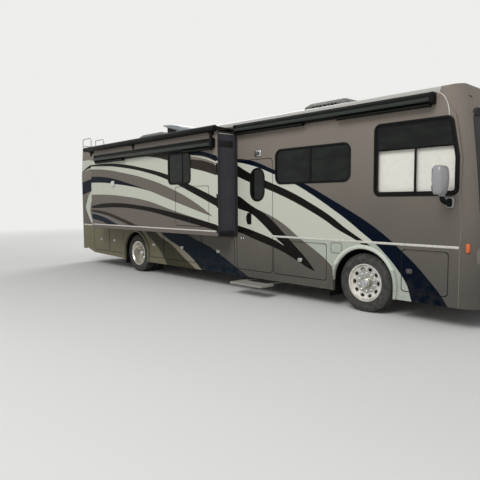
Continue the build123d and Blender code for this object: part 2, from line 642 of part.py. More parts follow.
# Storage trays: side, rear and front x from the front axle
REAR_TRAY = (REAR_BAY[0] - PLATE, REAR_BAY[1] + PLATE)
TRAYS = [
    (CURB, *REAR_TRAY), (CURB, -6040.0, -2930.0), (CURB, -1900.0, -690.0), (CURB, 650.0, 1360.0),
    (STREET, *REAR_TRAY), (STREET, -6040.0, -690.0), (STREET, 650.0, 1360.0),
]
NOSE_DECK_HALF = 1000.0
STEP_EDGE_Y = -930.0
with BuildPart() as floor_deck:
    deck_front = at(FRONT_SEAM[0][0])
    slab(REAR_SEAM_X, deck_front, -INNER, INNER, DECK_Z, DECK_Z + DECK_T)
    slab(deck_front, deck_front + SLIDE_WALL, -NOSE_DECK_HALF, NOSE_DECK_HALF, DECK_Z, DECK_Z + DECK_T)
    well_x = (at(STEPWELL[0]), at(STEPWELL[1]))
    slab(*well_x, *STEPWELL_Y, DECK_Z, DECK_Z + DECK_T, mode=Mode.SUBTRACT)
    slab(well_x[0] - PLATE, well_x[1] + PLATE, STEPWELL_Y[0], STEPWELL_Y[1] + PLATE, DOOR_SILL_Z, DECK_Z)
    slab(*well_x, STEPWELL_Y[0] - PLATE, STEPWELL_Y[1], STEP_RISE_Z, DECK_Z + PLATE, mode=Mode.SUBTRACT)
    low_z = (DOOR_SILL_Z + PLATE, DECK_Z + PLATE)
    slab(*well_x, STEPWELL_Y[0] - PLATE, STEP_EDGE_Y, *low_z, mode=Mode.SUBTRACT)
    for x in STEP_ARM_X:
        guide = (at(x) - STEP_GUIDE_HALF, at(x) + STEP_GUIDE_HALF)
        slab(*guide, *STEPWELL_Y, STEP_Z[1] + FIT, DOOR_SILL_Z)
write(floor_deck.part, "floor_deck")

with BuildPart() as storage_bays:
    for side, x0, x1 in TRAYS:
        y0, y1 = side * BAY_INNER_Y, side * (HALF - SKIRT_T)
        slab(at(x0), at(x1), y0, y1, DOOR_SILL_Z - PLATE, DOOR_SILL_Z)
        slab(at(x0), at(x1), y0, y0 + side * PLATE, DOOR_SILL_Z, DECK_Z)
        slab(at(x0), at(x0) + PLATE, y0, y1, DOOR_SILL_Z, DECK_Z)
        slab(at(x1) - PLATE, at(x1), y0, y1, DOOR_SILL_Z, DECK_Z)
write(storage_bays.part, "storage_bays")

# Chassis: rails, crossmembers under the deck and the rear tow receiver on its drop brackets
RAIL_Y = (400.0, 470.0)
RAIL_Z = (640.0, 880.0)
RAIL_WALL = 10.0
RAIL_X = (tail(182), at(1450))
CROSS_X = [
    tail(842), REAR_AXLE_X - 1023, REAR_AXLE_X + 577, at(-4500), at(-3000), at(-1700), at(-680), at(640),
    at(1380),
]
CROSS_W = 70.0
RECEIVER_SIZE = 76.0
RECEIVER_BORE = 51.5
RECEIVER_DEPTH = 180.0
RECEIVER_Z = 370.0
RECEIVER_PIN_R = 8.0
RECEIVER_PIN_X = 60.0
RECEIVER_END = tail(5)
with BuildPart() as chassis_frame:
    for side in SIDES.values():
        slab(*RAIL_X, side * RAIL_Y[0], side * RAIL_Y[1], *RAIL_Z)
        web_z = (RAIL_Z[0] + RAIL_WALL, RAIL_Z[1] - RAIL_WALL)
        slab(*RAIL_X, side * RAIL_Y[0], side * (RAIL_Y[1] - RAIL_WALL), *web_z, mode=Mode.SUBTRACT)
    for x in CROSS_X:
        slab(x - CROSS_W / 2, x + CROSS_W / 2, -RAIL_Y[1], RAIL_Y[1], RAIL_Z[1], DECK_Z)
    beam_x = (RAIL_X[0], RAIL_X[0] + CROSS_W)
    receiver_z = (RECEIVER_Z - RECEIVER_SIZE / 2, RECEIVER_Z + RECEIVER_SIZE / 2)
    for side in SIDES.values():
        bracket_y = (side * (RAIL_Y[0] - RAIL_WALL), side * RAIL_Y[1])
        slab(*beam_x, *bracket_y, receiver_z[0], RAIL_Z[0] + RAIL_WALL)
    slab(*beam_x, -RAIL_Y[1], RAIL_Y[1], *receiver_z)
    slab(RECEIVER_END, beam_x[1], -RECEIVER_SIZE / 2, RECEIVER_SIZE / 2, *receiver_z)
    with BuildSketch(Plane.YZ.offset(RECEIVER_END)):
        with Locations((0, RECEIVER_Z)):
            Rectangle(RECEIVER_BORE, RECEIVER_BORE)
    extrude(amount=RECEIVER_DEPTH, mode=Mode.SUBTRACT)
    with Locations(Location((RECEIVER_END + RECEIVER_PIN_X, 0, RECEIVER_Z), (90, 0, 0))):
        Cylinder(RECEIVER_PIN_R, 2 * RECEIVER_SIZE, mode=Mode.SUBTRACT)
write(chassis_frame.part, "chassis_frame")

# Engine: sump and block, narrower head, and two cross mounts into the rails
ENGINE_X = (tail(442), tail(1592))
ENGINE_HALF = 370.0
ENGINE_Z = (470.0, 1010.0)
HEAD_X = (tail(542), tail(792))
HEAD_INSET = 40.0
MOUNT_IN = 150.0
MOUNT_HALF = 50.0
MOUNT_Z = (700.0, 800.0)
with BuildPart() as engine_block:
    slab(*ENGINE_X, -ENGINE_HALF, ENGINE_HALF, ENGINE_Z[0], RAIL_Z[1] - RAIL_WALL)
    slab(*HEAD_X, HEAD_INSET - ENGINE_HALF, ENGINE_HALF - HEAD_INSET, RAIL_Z[1] - RAIL_WALL, ENGINE_Z[1])
    for x in (ENGINE_X[0] + MOUNT_IN, ENGINE_X[1] - MOUNT_IN):
        slab(x - MOUNT_HALF, x + MOUNT_HALF, RAIL_WALL - RAIL_Y[1], RAIL_Y[1] - RAIL_WALL, *MOUNT_Z)
write(engine_block.part, "engine_block")


# Wheels: profiles as distance outboard of the wheel's centre plane, radius
def wheel_plane(x, side, centre_y):
    """A plane through a wheel's axis: local x points outboard, local y up."""
    return Plane(origin=(x, side * centre_y, TYRE_R), x_dir=(0, side, 0), z_dir=(side, 0, 0))


def ring(plane, profile):
    """A closed profile revolved about the wheel's axis."""
    with BuildPart() as turned:
        with BuildSketch(plane):
            with BuildLine():
                Polyline(*profile, close=True)
            make_face()
        revolve(axis=Axis(plane.origin, (0, 1, 0)))
    return turned.part


TYRE_SIDE = [
    (105.0, BEAD_R), (120.0, 310.0), (TYRE_WIDTH / 2, 365.0), (124.0, 415.0), (112.0, 450.0), (94.0, TYRE_R),
]
TYRE_PROFILE = TYRE_SIDE + [(-a, r) for a, r in reversed(TYRE_SIDE)]
RIM_R = BEAD_R - FIT
HUB_R = 95.0
SPINDLE_R = 35.0
AXLE_TUBE_R = 60.0
FRONT_RIM = [
    (-70.0, SPINDLE_R + FIT), (-70.0, HUB_R), (46.0, HUB_R), (46.0, 165.0), (66.0, 262.0), (-98.0, 262.0),
    (-119.0, 275.0), (-119.0, 298.0), (-113.5, 298.0), (-106.0, RIM_R), (106.0, RIM_R), (113.5, 298.0),
    (119.0, 298.0), (119.0, 282.0), (100.0, 270.0), (84.0, 258.0), (62.0, 165.0), (62.0, 88.0),
    (118.0, 82.0), (134.0, 64.0), (134.0, 0.0), (40.0, 0.0), (40.0, SPINDLE_R + FIT),
]
DUAL_RIM = [
    (-150.0, AXLE_TUBE_R + FIT), (-150.0, 110.0), (-12.0, 110.0), (-12.0, 250.0), (-60.0, 262.0),
    (-262.0, 262.0), (-287.0, 275.0), (-287.0, 298.0), (-281.0, 298.0), (-273.5, RIM_R), (-61.5, RIM_R),
    (-54.0, 298.0), (-48.0, 298.0), (-48.0, 276.0), (48.0, 276.0), (48.0, 298.0), (54.0, 298.0),
    (61.5, RIM_R), (273.5, RIM_R), (281.0, 298.0), (287.0, 298.0), (287.0, 282.0), (262.0, 262.0),
    (60.0, 262.0), (12.0, 250.0), (12.0, 130.0), (22.0, HUB_R), (150.0, 88.0), (190.0, 64.0), (190.0, 0.0),
    (-20.0, 0.0), (-20.0, AXLE_TUBE_R + FIT),
]
HAND_HOLES = 10
HAND_HOLE_R = 216.0
HAND_HOLE_LENGTH = 62.0
HAND_HOLE_WIDTH = 40.0
DISC_Y = 110.0
DISC_CUT = 80.0

for name, side in (("left", STREET), ("right", CURB)):
    front = wheel_plane(FRONT_AXLE_X, side, FRONT_TRACK_HALF)
    rear = wheel_plane(REAR_AXLE_X, side, DUAL_TRACK_HALF)
    with BuildPart() as front_tyre:
        add(ring(front, TYRE_PROFILE))
    write(front_tyre.part, f"tyre_front_{name}")
    with BuildPart() as front_rim:
        add(ring(front, FRONT_RIM))
        with BuildSketch(side_plane(side, FRONT_TRACK_HALF + DISC_Y)):
            with Locations((FRONT_AXLE_X, TYRE_R)):
                with PolarLocations(HAND_HOLE_R, HAND_HOLES):
                    SlotOverall(HAND_HOLE_LENGTH, HAND_HOLE_WIDTH, rotation=90)
        extrude(amount=side * DISC_CUT, mode=Mode.SUBTRACT)
    write(front_rim.part, f"rim_front_{name}")
    with BuildPart() as rear_tyres:
        for shift in (-DUAL_SPACING / 2, DUAL_SPACING / 2):
            add(ring(rear, [(a + shift, r) for a, r in TYRE_PROFILE]))
    write(rear_tyres.part, f"tyres_rear_{name}")
    with BuildPart() as rear_rim:
        add(ring(rear, DUAL_RIM))
    write(rear_rim.part, f"rims_rear_{name}")

# Front axle beam with a boss for each kingpin, and the knuckles that carry the wheels
KINGPIN_Y = 880.0
KINGPIN_R = 18.0
BOSS_R = 45.0
BOSS_Z = (TYRE_R - 65, TYRE_R + 65)
BOSS_LAP = 20.0
BEAM_HALF = 45.0
BEAM_Y = 560.0
BEAM_Z = (330.0, 430.0)
SPRING_Y = sum(RAIL_Y) / 2
SPRING_R = 60.0
SPRING_SEAT = 10.0
EAR_T = 42.0
EAR_GAP = 6.0
EAR_LOW_Z = BOSS_Z[0] - EAR_GAP - EAR_T
EAR_HIGH_Z = BOSS_Z[1] + EAR_GAP + EAR_T
with BuildPart() as front_axle:
    slab(at(-BEAM_HALF), at(BEAM_HALF), -BEAM_Y, BEAM_Y, *BEAM_Z)
    for side in SIDES.values():
        with Locations((FRONT_AXLE_X, side * KINGPIN_Y, TYRE_R)):
            Cylinder(BOSS_R, BOSS_Z[1] - BOSS_Z[0])
        with BuildSketch(Plane.YZ.offset(at(-BEAM_HALF) + FIT)):
            with BuildLine():
                inner_y, outer_y = side * (BEAM_Y - 3 * BOSS_LAP), side * (KINGPIN_Y - BOSS_LAP)
                low = [(inner_y, BEAM_Z[0]), (side * (BEAM_Y + 2 * BOSS_LAP), BEAM_Z[0])]
                high = [(side * BEAM_Y, BEAM_Z[1]), (inner_y, BEAM_Z[1])]
                end = [(outer_y, BOSS_Z[0] + BOSS_LAP), (outer_y, BOSS_Z[1] - BOSS_LAP)]
                Polyline(*low, *end, *high, close=True)
            make_face()
        extrude(amount=2 * (BEAM_HALF - FIT))
        seat_y = (side * RAIL_Y[0], side * RAIL_Y[1])
        slab(at(-SPRING_R), at(SPRING_R), *seat_y, BEAM_Z[1], BEAM_Z[1] + SPRING_SEAT)
        with Locations((FRONT_AXLE_X, side * SPRING_Y, (BEAM_Z[1] + RAIL_Z[0]) / 2)):
            Cylinder(SPRING_R, RAIL_Z[0] - BEAM_Z[1])
        with Locations((FRONT_AXLE_X, side * KINGPIN_Y, TYRE_R)):
            Cylinder(KINGPIN_R + FIT, 2 * (BOSS_Z[1] - BOSS_Z[0]), mode=Mode.SUBTRACT)
write(front_axle.part, "front_axle")

KNUCKLE_Y = (KINGPIN_Y + 60, KINGPIN_Y + 95)
KNUCKLE_HALF = 40.0
SPINDLE_END_Y = FRONT_TRACK_HALF + 35
for name, side in (("left", STREET), ("right", CURB)):
    with BuildPart() as knuckle:
        for z in (EAR_LOW_Z + EAR_T / 2, EAR_HIGH_Z - EAR_T / 2):
            with Locations((FRONT_AXLE_X, side * KINGPIN_Y, z)):
                Cylinder(BOSS_R, EAR_T)
            ear_y = (side * KINGPIN_Y, side * (KNUCKLE_Y[1] - EAR_GAP))
            slab(at(-KNUCKLE_HALF), at(KNUCKLE_HALF), *ear_y, z - EAR_T / 2, z + EAR_T / 2)
        slab(at(-BEAM_HALF), at(BEAM_HALF), side * KNUCKLE_Y[0], side * KNUCKLE_Y[1], EAR_LOW_Z, EAR_HIGH_Z)
        with Locations((FRONT_AXLE_X, side * KINGPIN_Y, TYRE_R)):
            Cylinder(KINGPIN_R, EAR_HIGH_Z - EAR_LOW_Z)
        with BuildSketch(side_plane(side, KNUCKLE_Y[0] + BOSS_LAP)):
            with Locations((FRONT_AXLE_X, TYRE_R)):
                Circle(SPINDLE_R)
        extrude(amount=-side * (SPINDLE_END_Y - KNUCKLE_Y[0] - BOSS_LAP))
    write(knuckle.part, f"knuckle_{name}")

# Drive axle: tube, differential and air springs under the rails
DIFF_R = 175.0
AXLE_SLEEVE_R = 80.0
AXLE_SLEEVE = 1150.0
SADDLE_X = 300.0
SADDLE_HALF = 40.0
AIR_SPRING_X = 240.0
AIR_SPRING_R = 80.0
with BuildPart() as rear_axle:
    with Locations(Location((REAR_AXLE_X, 0, TYRE_R), (90, 0, 0))):
        Cylinder(AXLE_TUBE_R, 2 * (DUAL_TRACK_HALF - 25))
        Cylinder(AXLE_SLEEVE_R, AXLE_SLEEVE)
        Sphere(DIFF_R)
    for side in SIDES.values():
        saddle_x = (REAR_AXLE_X - SADDLE_X, REAR_AXLE_X + SADDLE_X)
        slab(*saddle_x, side * RAIL_Y[0], side * RAIL_Y[1], TYRE_R - SADDLE_HALF, TYRE_R + SADDLE_HALF)
        for x in (-AIR_SPRING_X, AIR_SPRING_X):
            with Locations((REAR_AXLE_X + x, side * SPRING_Y, (TYRE_R + SADDLE_HALF + RAIL_Z[0]) / 2)):
                Cylinder(AIR_SPRING_R, RAIL_Z[0] - TYRE_R - SADDLE_HALF)
write(rear_axle.part, "rear_axle")

# Roof equipment: rear and front x from the front axle
AC_UNITS = [(-8050.0, -6850.0), (-2080.0, -980.0)]
AC_HALF = 360.0
AC_TOP_Z = ROOF_EDGE_Z + ROOF_CROWN + 253
# Shroud sections: height, inset from the foot, corner radius
AC_SECTIONS = [(ROOF_EDGE_Z + 40, 0.0, 120.0), (AC_TOP_Z - 60, 45.0, 110.0), (AC_TOP_Z, 130.0, 60.0)]
with BuildPart() as roof_fill:
    with BuildSketch(Plane.YZ.offset(REAR_SEAM_X)):
        with BuildLine():
            body_outline(0, BELT_Z)
        make_face()
    extrude(amount=ROOF_FRONT_X - REAR_SEAM_X)
with BuildPart() as air_conditioners:
    for x0, x1 in AC_UNITS:
        sections = []
        for z, inset, radius in AC_SECTIONS:
            with BuildSketch(Plane.XY.offset(z)) as section:
                with Locations(((at(x0) + at(x1)) / 2, 0)):
                    RectangleRounded(x1 - x0 - 2 * inset, 2 * (AC_HALF - inset), radius)
            sections.append(section.sketch)
        loft(sections, ruled=True)
    add(roof_fill.part, mode=Mode.SUBTRACT)
write(air_conditioners.part, "air_conditioners")

open_cos, open_sin = cos(radians(VENT_OPEN_DEG)), sin(radians(VENT_OPEN_DEG))
lid_length = VENT_X[1] - VENT_X[0]
lid_origin = (LID_AXIS_X, VENT_CENTRE_Y, LID_AXIS_Z)
lid_plane = Plane(origin=lid_origin, x_dir=(-open_cos, 0, open_sin), z_dir=(open_sin, 0, open_cos))
with BuildPart() as vent_lid:
    with BuildSketch(lid_plane.offset(-LID_SKIRT)):
        with Locations((LID_START + lid_length / 2, 0)):
            RectangleRounded(lid_length, 2 * VENT_HALF, LID_CORNER_R)
    extrude(amount=LID_T)
    with BuildSketch(lid_plane.offset(-LID_SKIRT)):
        with Locations((LID_START + lid_length / 2, 0)):
            RectangleRounded(lid_length - 2 * LID_RIM, 2 * (VENT_HALF - LID_RIM), LID_CORNER_R - LID_RIM)
    extrude(amount=LID_T - LID_RIM, mode=Mode.SUBTRACT)
    with BuildSketch(lid_plane.offset(-LID_RIM / 2)):
        with Locations(((LID_START + LID_RIM) / 2, 0)):
            Rectangle(LID_START + LID_RIM, 2 * (LID_HINGE_HALF - LID_RIM))
    extrude(amount=LID_RIM)
    with Locations(Location((LID_AXIS_X, VENT_CENTRE_Y, LID_AXIS_Z), (90, 0, 0))):
        Cylinder(LID_HINGE_R, 2 * LID_HINGE_HALF)
write(vent_lid.part, "roof_vent_lid")

# Rear ladder: two rails bent over the roof's rear edge, with rungs and standoffs
LADDER_Y = (-1080.0, -680.0)
LADDER_TUBE_R = 14.0
LADDER_LOW_Z = 1560.0
LADDER_MID_Z = 2440.0
LADDER_TOP_Z = ROOF_EDGE_Z + 300
LADDER_BEND_R = 55.0
LADDER_X = BODY_REAR - LADDER_REACH + LADDER_TUBE_R
LADDER_ROOF_X = REAR_SEAM_X + 2 * LADDER_TUBE_R
RUNG_R = 11.0
RUNG_COUNT = 7
RUNG_PITCH = (LADDER_TOP_Z - LADDER_LOW_Z) / (RUNG_COUNT + 0.5)
half_roof = HALF - ROOF_EDGE_R
ROOF_ARC_R = (half_roof**2 + ROOF_CROWN**2) / (2 * ROOF_CROWN)
with BuildPart() as rear_ladder:
    for y in LADDER_Y:
        near = abs(y) - LADDER_TUBE_R
        wall_x = BODY_REAR + REAR_BOW_R - sqrt(REAR_BOW_R**2 - near**2) - FIT
        roof_z = ROOF_EDGE_Z + ROOF_CROWN - ROOF_ARC_R + sqrt(ROOF_ARC_R**2 - near**2) + FIT
        with BuildLine(Plane.XZ.offset(-y)) as rail:
            FilletPolyline(
                (wall_x, LADDER_LOW_Z), (LADDER_X, LADDER_LOW_Z), (LADDER_X, LADDER_TOP_Z),
                (LADDER_ROOF_X, LADDER_TOP_Z), (LADDER_ROOF_X, roof_z), radius=LADDER_BEND_R,
            )
        with BuildSketch(Plane(origin=rail.wire() @ 0, z_dir=rail.wire() % 0)):
            Circle(LADDER_TUBE_R)
        sweep(path=rail.wire())
        with Locations(Location(((LADDER_X + wall_x) / 2, y, LADDER_MID_Z), (0, 90, 0))):
            Cylinder(RUNG_R, wall_x - LADDER_X)
    for n in range(RUNG_COUNT):
        rung = (LADDER_X, sum(LADDER_Y) / 2, LADDER_LOW_Z + (n + 0.8) * RUNG_PITCH)
        with Locations(Location(rung, (90, 0, 0))):
            Cylinder(RUNG_R, LADDER_Y[1] - LADDER_Y[0])
write(rear_ladder.part, "rear_ladder")

# Mirrors on arms from the front cap's edge
MIRROR_X = 1385.0
MIRROR_Z = (1850.0, 2215.0)
MIRROR_Y = (1500.0, 1730.0)
MIRROR_D = 120.0
MIRROR_R = 55.0
ARM_HALF = 25.0
FOOT_HALF = 35.0
FOOT_T = 18.0
FOOT_Z = (1650.0, 1800.0)
ARM_Z = (1735.0, 1785.0)
ARM_Y = (1510.0, 1560.0)
with BuildPart() as mirrors:
    for side in SIDES.values():
        with BuildSketch(Plane.YZ.offset(at(MIRROR_X) - MIRROR_D / 2)):
            with Locations((side * sum(MIRROR_Y) / 2, sum(MIRROR_Z) / 2)):
                RectangleRounded(MIRROR_Y[1] - MIRROR_Y[0], MIRROR_Z[1] - MIRROR_Z[0], MIRROR_R)
        extrude(amount=MIRROR_D)
        foot_x = (at(MIRROR_X) - FOOT_HALF, at(MIRROR_X) + FOOT_HALF)
        arm_x = (at(MIRROR_X) - ARM_HALF, at(MIRROR_X) + ARM_HALF)
        slab(*foot_x, side * HALF, side * (HALF + FOOT_T), *FOOT_Z)
        slab(*arm_x, side * (HALF + FOOT_T / 2), side * ARM_Y[1], *ARM_Z)
        slab(*arm_x, side * ARM_Y[0], side * ARM_Y[1], ARM_Z[0], MIRROR_Z[0] + ARM_HALF)
write(mirrors.part, "mirrors")

# Cab: seats as seat centre, cushion x, heights of base, cushion and backrest over the floor
SEAT_Y = 640.0
SEAT_HALF = 270.0
SEAT_X = (250.0, 780.0)
SEAT_BASE = 280.0
SEAT_CUSHION = 430.0
SEAT_BACK = 1150.0
SEAT_BACK_T = 150.0
SEAT_BASE_IN = 100.0
SEAT_BACK_IN = 20.0
FLOOR_Z = DECK_Z + DECK_T
with BuildPart() as cab_seats:
    for side in SIDES.values():
        x0, x1 = at(SEAT_X[0]), at(SEAT_X[1])
        y0, y1 = side * SEAT_Y - SEAT_HALF, side * SEAT_Y + SEAT_HALF
        base_y = (y0 + SEAT_BASE_IN, y1 - SEAT_BASE_IN)
        slab(x0 + SEAT_BASE_IN, x1 - SEAT_BASE_IN, *base_y, FLOOR_Z, FLOOR_Z + SEAT_BASE)
        slab(x0, x1, y0, y1, FLOOR_Z + SEAT_BASE, FLOOR_Z + SEAT_CUSHION)
        back_x = (x0 + SEAT_BACK_IN - SEAT_BACK_T / 2, x0 + SEAT_BACK_IN + SEAT_BACK_T / 2)
        back_z = (FLOOR_Z + SEAT_CUSHION - SEAT_BACK_IN, FLOOR_Z + SEAT_BACK)
        slab(*back_x, y0 + SEAT_BACK_IN, y1 - SEAT_BACK_IN, *back_z)
write(cab_seats.part, "cab_seats")

# Bedroom bulkhead and the blinds of the cab's side windows
BULKHEAD_X = 1512.0
BULKHEAD_T = 30.0
BLIND_X = (190.0, 1440.0)
BLIND_Z = (1815.0, 2500.0)
BLIND_T = 4.0
with BuildPart() as interior_fittings:
    bulkhead_x = (tail(BULKHEAD_X) - BULKHEAD_T / 2, tail(BULKHEAD_X) + BULKHEAD_T / 2)
    slab(*bulkhead_x, -INNER, INNER, FLOOR_Z, WALL_TOP_Z)
    for side in SIDES.values():
        slab(at(BLIND_X[0]), at(BLIND_X[1]), side * (INNER - BLIND_T), side * INNER, *BLIND_Z)
write(interior_fittings.part, "interior_fittings")

# Steering wheel on its tilted column, and the dashboard that carries the column
WHEEL_AXIS_DEG = 42.0
WHEEL_RIM_R = 215.0
WHEEL_GRIP_R = 14.0
WHEEL_HUB_R = 60.0
WHEEL_HUB_T = 20.0
SPOKE_WIDTH = 30.0
COLUMN_R = 28.0
COLUMN_LENGTH = 310.0
STEER_HUB = (at(1180), SEAT_Y, FLOOR_Z + 560)
tilt = radians(WHEEL_AXIS_DEG)
steer_plane = Plane(origin=STEER_HUB, x_dir=(0, 1, 0), z_dir=(-sin(tilt), 0, cos(tilt)))
DASH_X = (1290.0, 1540.0)
DASH_HALF = 1150.0
DASH_TALL = 330.0
with BuildPart() as dashboard:
    slab(at(DASH_X[0]), at(DASH_X[1]), -DASH_HALF, DASH_HALF, FLOOR_Z, FLOOR_Z + DASH_TALL)
    with BuildSketch(steer_plane.offset(-WHEEL_HUB_T / 2 - FIT)):
        Circle(COLUMN_R)
    extrude(amount=-COLUMN_LENGTH)
write(dashboard.part, "dashboard")

with BuildPart() as steering_wheel:
    with BuildSketch(Plane(origin=STEER_HUB, x_dir=steer_plane.x_dir, z_dir=-steer_plane.y_dir)):
        with Locations((WHEEL_RIM_R, 0)):
            Circle(WHEEL_GRIP_R)
    revolve(axis=Axis(STEER_HUB, steer_plane.z_dir))
    with BuildSketch(steer_plane.offset(-WHEEL_HUB_T / 2)):
        Circle(WHEEL_HUB_R)
        for turn in (0, 120, 240):
            with Locations(Location((0, 0, 0), (0, 0, turn))):
                with Locations((WHEEL_RIM_R / 2, 0)):
                    Rectangle(WHEEL_RIM_R, SPOKE_WIDTH)
    extrude(amount=WHEEL_HUB_T)
write(steering_wheel.part, "steering_wheel")

# Entry step on its slide
with BuildPart() as entry_step:
    slab(at(STEP_X[0]), at(STEP_X[1]), *STEP_Y, *STEP_Z)
    for x in STEP_ARM_X:
        slab(at(x) - STEP_ARM_HALF, at(x) + STEP_ARM_HALF, STEP_Y[1], STEP_ARM_END_Y, *STEP_Z)
write(entry_step.part, "entry_step")
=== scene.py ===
"""Finish and fittings of the motorhome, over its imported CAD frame. Metres: +X forwards, +Y street side, +Z up."""

import math

import bmesh
import bpy
from mathutils import Matrix, Vector
from mathutils.bvhtree import BVHTree


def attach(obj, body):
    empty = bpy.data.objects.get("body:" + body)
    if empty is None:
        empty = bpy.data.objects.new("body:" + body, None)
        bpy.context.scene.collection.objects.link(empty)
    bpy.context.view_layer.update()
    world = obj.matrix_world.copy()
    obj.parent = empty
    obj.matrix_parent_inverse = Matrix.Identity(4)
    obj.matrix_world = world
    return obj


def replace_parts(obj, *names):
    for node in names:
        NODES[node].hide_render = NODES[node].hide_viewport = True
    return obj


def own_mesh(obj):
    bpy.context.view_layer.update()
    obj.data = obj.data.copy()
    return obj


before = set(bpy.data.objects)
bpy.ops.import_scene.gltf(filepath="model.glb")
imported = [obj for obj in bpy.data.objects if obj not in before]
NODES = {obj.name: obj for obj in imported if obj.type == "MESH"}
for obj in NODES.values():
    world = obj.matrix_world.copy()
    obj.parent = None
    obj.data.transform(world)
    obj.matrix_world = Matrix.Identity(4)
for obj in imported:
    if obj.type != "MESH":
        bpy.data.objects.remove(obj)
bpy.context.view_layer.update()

FRONT_AXLE, REAR_AXLE, AXLE_Z = 3.992, -2.635, 0.465
# Outer faces of the body's sides and of the slide-outs
HALF, SLIDE_Y = 1.295, 1.775
CURB, STREET = -1, 1
SIDES = (("curb", CURB), ("street", STREET))
UP, AHEAD = (0, 0, 1), (1, 0, 0)


def at(x):
    """The X of a place measured forwards from the front axle."""
    return FRONT_AXLE + x


# Camera: place, heading, downward pitch and roll in radians
CAMERA_PLACE = (8.3865, -7.9957, 1.7511)
CAMERA_YAW, CAMERA_PITCH, CAMERA_ROLL = 0.7502, 0.0766, -0.00627
CAMERA_LENS, CAMERA_SENSOR = 37.76, 36.0


def add_camera():
    data = bpy.data.cameras.new("camera")
    data.lens, data.sensor_width, data.sensor_fit = CAMERA_LENS, CAMERA_SENSOR, "HORIZONTAL"
    data.clip_end = 500
    camera = bpy.data.objects.new("camera", data)
    bpy.context.scene.collection.objects.link(camera)
    heading, lift = math.pi / 2 - CAMERA_YAW, math.pi / 2 - CAMERA_PITCH
    turns = [Matrix.Rotation(angle, 4, axis) for angle, axis in ((heading, "Z"), (lift, "X"), (CAMERA_ROLL, "Z"))]
    camera.matrix_world = Matrix.Translation(CAMERA_PLACE) @ turns[0] @ turns[1] @ turns[2]
    bpy.context.scene.camera = camera


add_camera()


# Finishes


def rgb(red, green, blue):
    """A colour as the renderer wants it, from 0-255 screen values."""
    out = []
    for value in (red, green, blue):
        c = value / 255
        out.append(c / 12.92 if c <= 0.04045 else ((c + 0.055) / 1.055) ** 2.4)
    return (*out, 1.0)


class Value:
    """A number in a finish's node tree, to reckon with as in a formula."""

    def __init__(self, finish, socket):
        self.finish, self.socket = finish, socket

    def __add__(self, other):
        return self.finish.math("ADD", self, other)

    def __sub__(self, other):
        return self.finish.math("SUBTRACT", self, other)

    def __mul__(self, other):
        return self.finish.math("MULTIPLY", self, other)

    def __gt__(self, other):
        return self.finish.math("GREATER_THAN", self, other)

    def __lt__(self, other):
        return self.finish.math("LESS_THAN", self, other)

    def __abs__(self):
        return self.finish.math("ABSOLUTE", self)

    def sine(self):
        return self.finish.math("SINE", self)

    def span(self, low, high, out_low=0.0, out_high=1.0):
        """Map low..high to out_low..out_high, held at the ends."""
        return self.finish.feed("ShaderNodeMapRange", (self, low, high, out_low, out_high))

    def within(self, low, high):
        """1 between low and high."""
        return (self > low) * (self < high)


class Finish:
    """A node material, built up from its Principled shader."""

    def __init__(self, name, colour=(0.5, 0.5, 0.5, 1), **sockets):
        self.mat = bpy.data.materials.new(name)
        self.mat.use_nodes = True
        self.tree = self.mat.node_tree
        self.shader = self.tree.nodes["Principled BSDF"]
        self.coords = self.add("ShaderNodeTexCoord")
        self.parts = {}
        self.set(Base_Color=colour, **sockets)

    def add(self, kind, **settings):
        node = self.tree.nodes.new(kind)
        for key, value in settings.items():
            setattr(node, key, value)
        return node

    def put(self, socket, value):
        """Link a socket to a value in the tree, or set it."""
        value = getattr(value, "socket", value)
        if isinstance(value, bpy.types.NodeSocket):
            self.tree.links.new(value, socket)
        else:
            socket.default_value = value

    def set(self, **sockets):
        """Put values in the shader's sockets, named with _ for a space."""
        for key, value in sockets.items():
            self.put(self.shader.inputs[key.replace("_", " ")], value)

    def feed(self, kind, values, **settings):
        """A new node's output, with values in its first inputs."""
        node = self.add(kind, **settings)
        for socket, value in zip(node.inputs, values):
            self.put(socket, value)
        return Value(self, node.outputs[0])

    def math(self, operation, a, b=0.0, c=0.0):
        return self.feed("ShaderNodeMath", (a, b, c), operation=operation)

    def xyz(self, output="Object"):
        """The parts of the place or of another of the coordinates."""
        if output not in self.parts:
            node = self.add("ShaderNodeSeparateXYZ")
            self.put(node.inputs[0], self.coords.outputs[output])
            self.parts[output] = [Value(self, socket) for socket in node.outputs]
        return self.parts[output]

    def length(self, a, b):
        return self.math("SQRT", a * a + b * b)

    def mix(self, factor, a, b, blend="MIX"):
        node = self.add("ShaderNodeMix", data_type="RGBA", blend_type=blend)
        for number, value in ((0, factor), (6, a), (7, b)):
            self.put(node.inputs[number], value)
        return Value(self, node.outputs[2])

    def noise(self, scale, detail=3.0, stretch=(1, 1, 1)):
        mapping = self.add("ShaderNodeMapping")
        mapping.inputs["Scale"].default_value = stretch
        self.put(mapping.inputs[0], self.coords.outputs["Object"])
        node = self.add("ShaderNodeTexNoise")
        self.put(node.inputs["Vector"], mapping.outputs[0])
        node.inputs["Scale"].default_value = scale
        node.inputs["Detail"].default_value = detail
        return Value(self, node.outputs[0])

    def bump(self, height, distance, strength=1.0):
        node = self.add("ShaderNodeBump")
        for key, value in (("Strength", strength), ("Distance", distance), ("Height", height)):
            self.put(node.inputs[key], value)
        self.set(Normal=node.outputs[0])


TAUPE, LIGHT_TAUPE, MAUVE = rgb(110, 104, 96), rgb(140, 134, 117), rgb(112, 104, 98)
CREAM, SHADED_CREAM, HIGHLIT_LIP_CREAM = rgb(196, 199, 184), rgb(176, 182, 170), rgb(208, 212, 200)
NAVY, TEAL, SILVER = rgb(2, 12, 28), rgb(12, 27, 38), rgb(120, 124, 130)
BLACK, BROWN = rgb(22, 20, 18), rgb(50, 44, 38)
OLIVE, OLIVE_DARK = rgb(118, 113, 92), rgb(60, 59, 45)

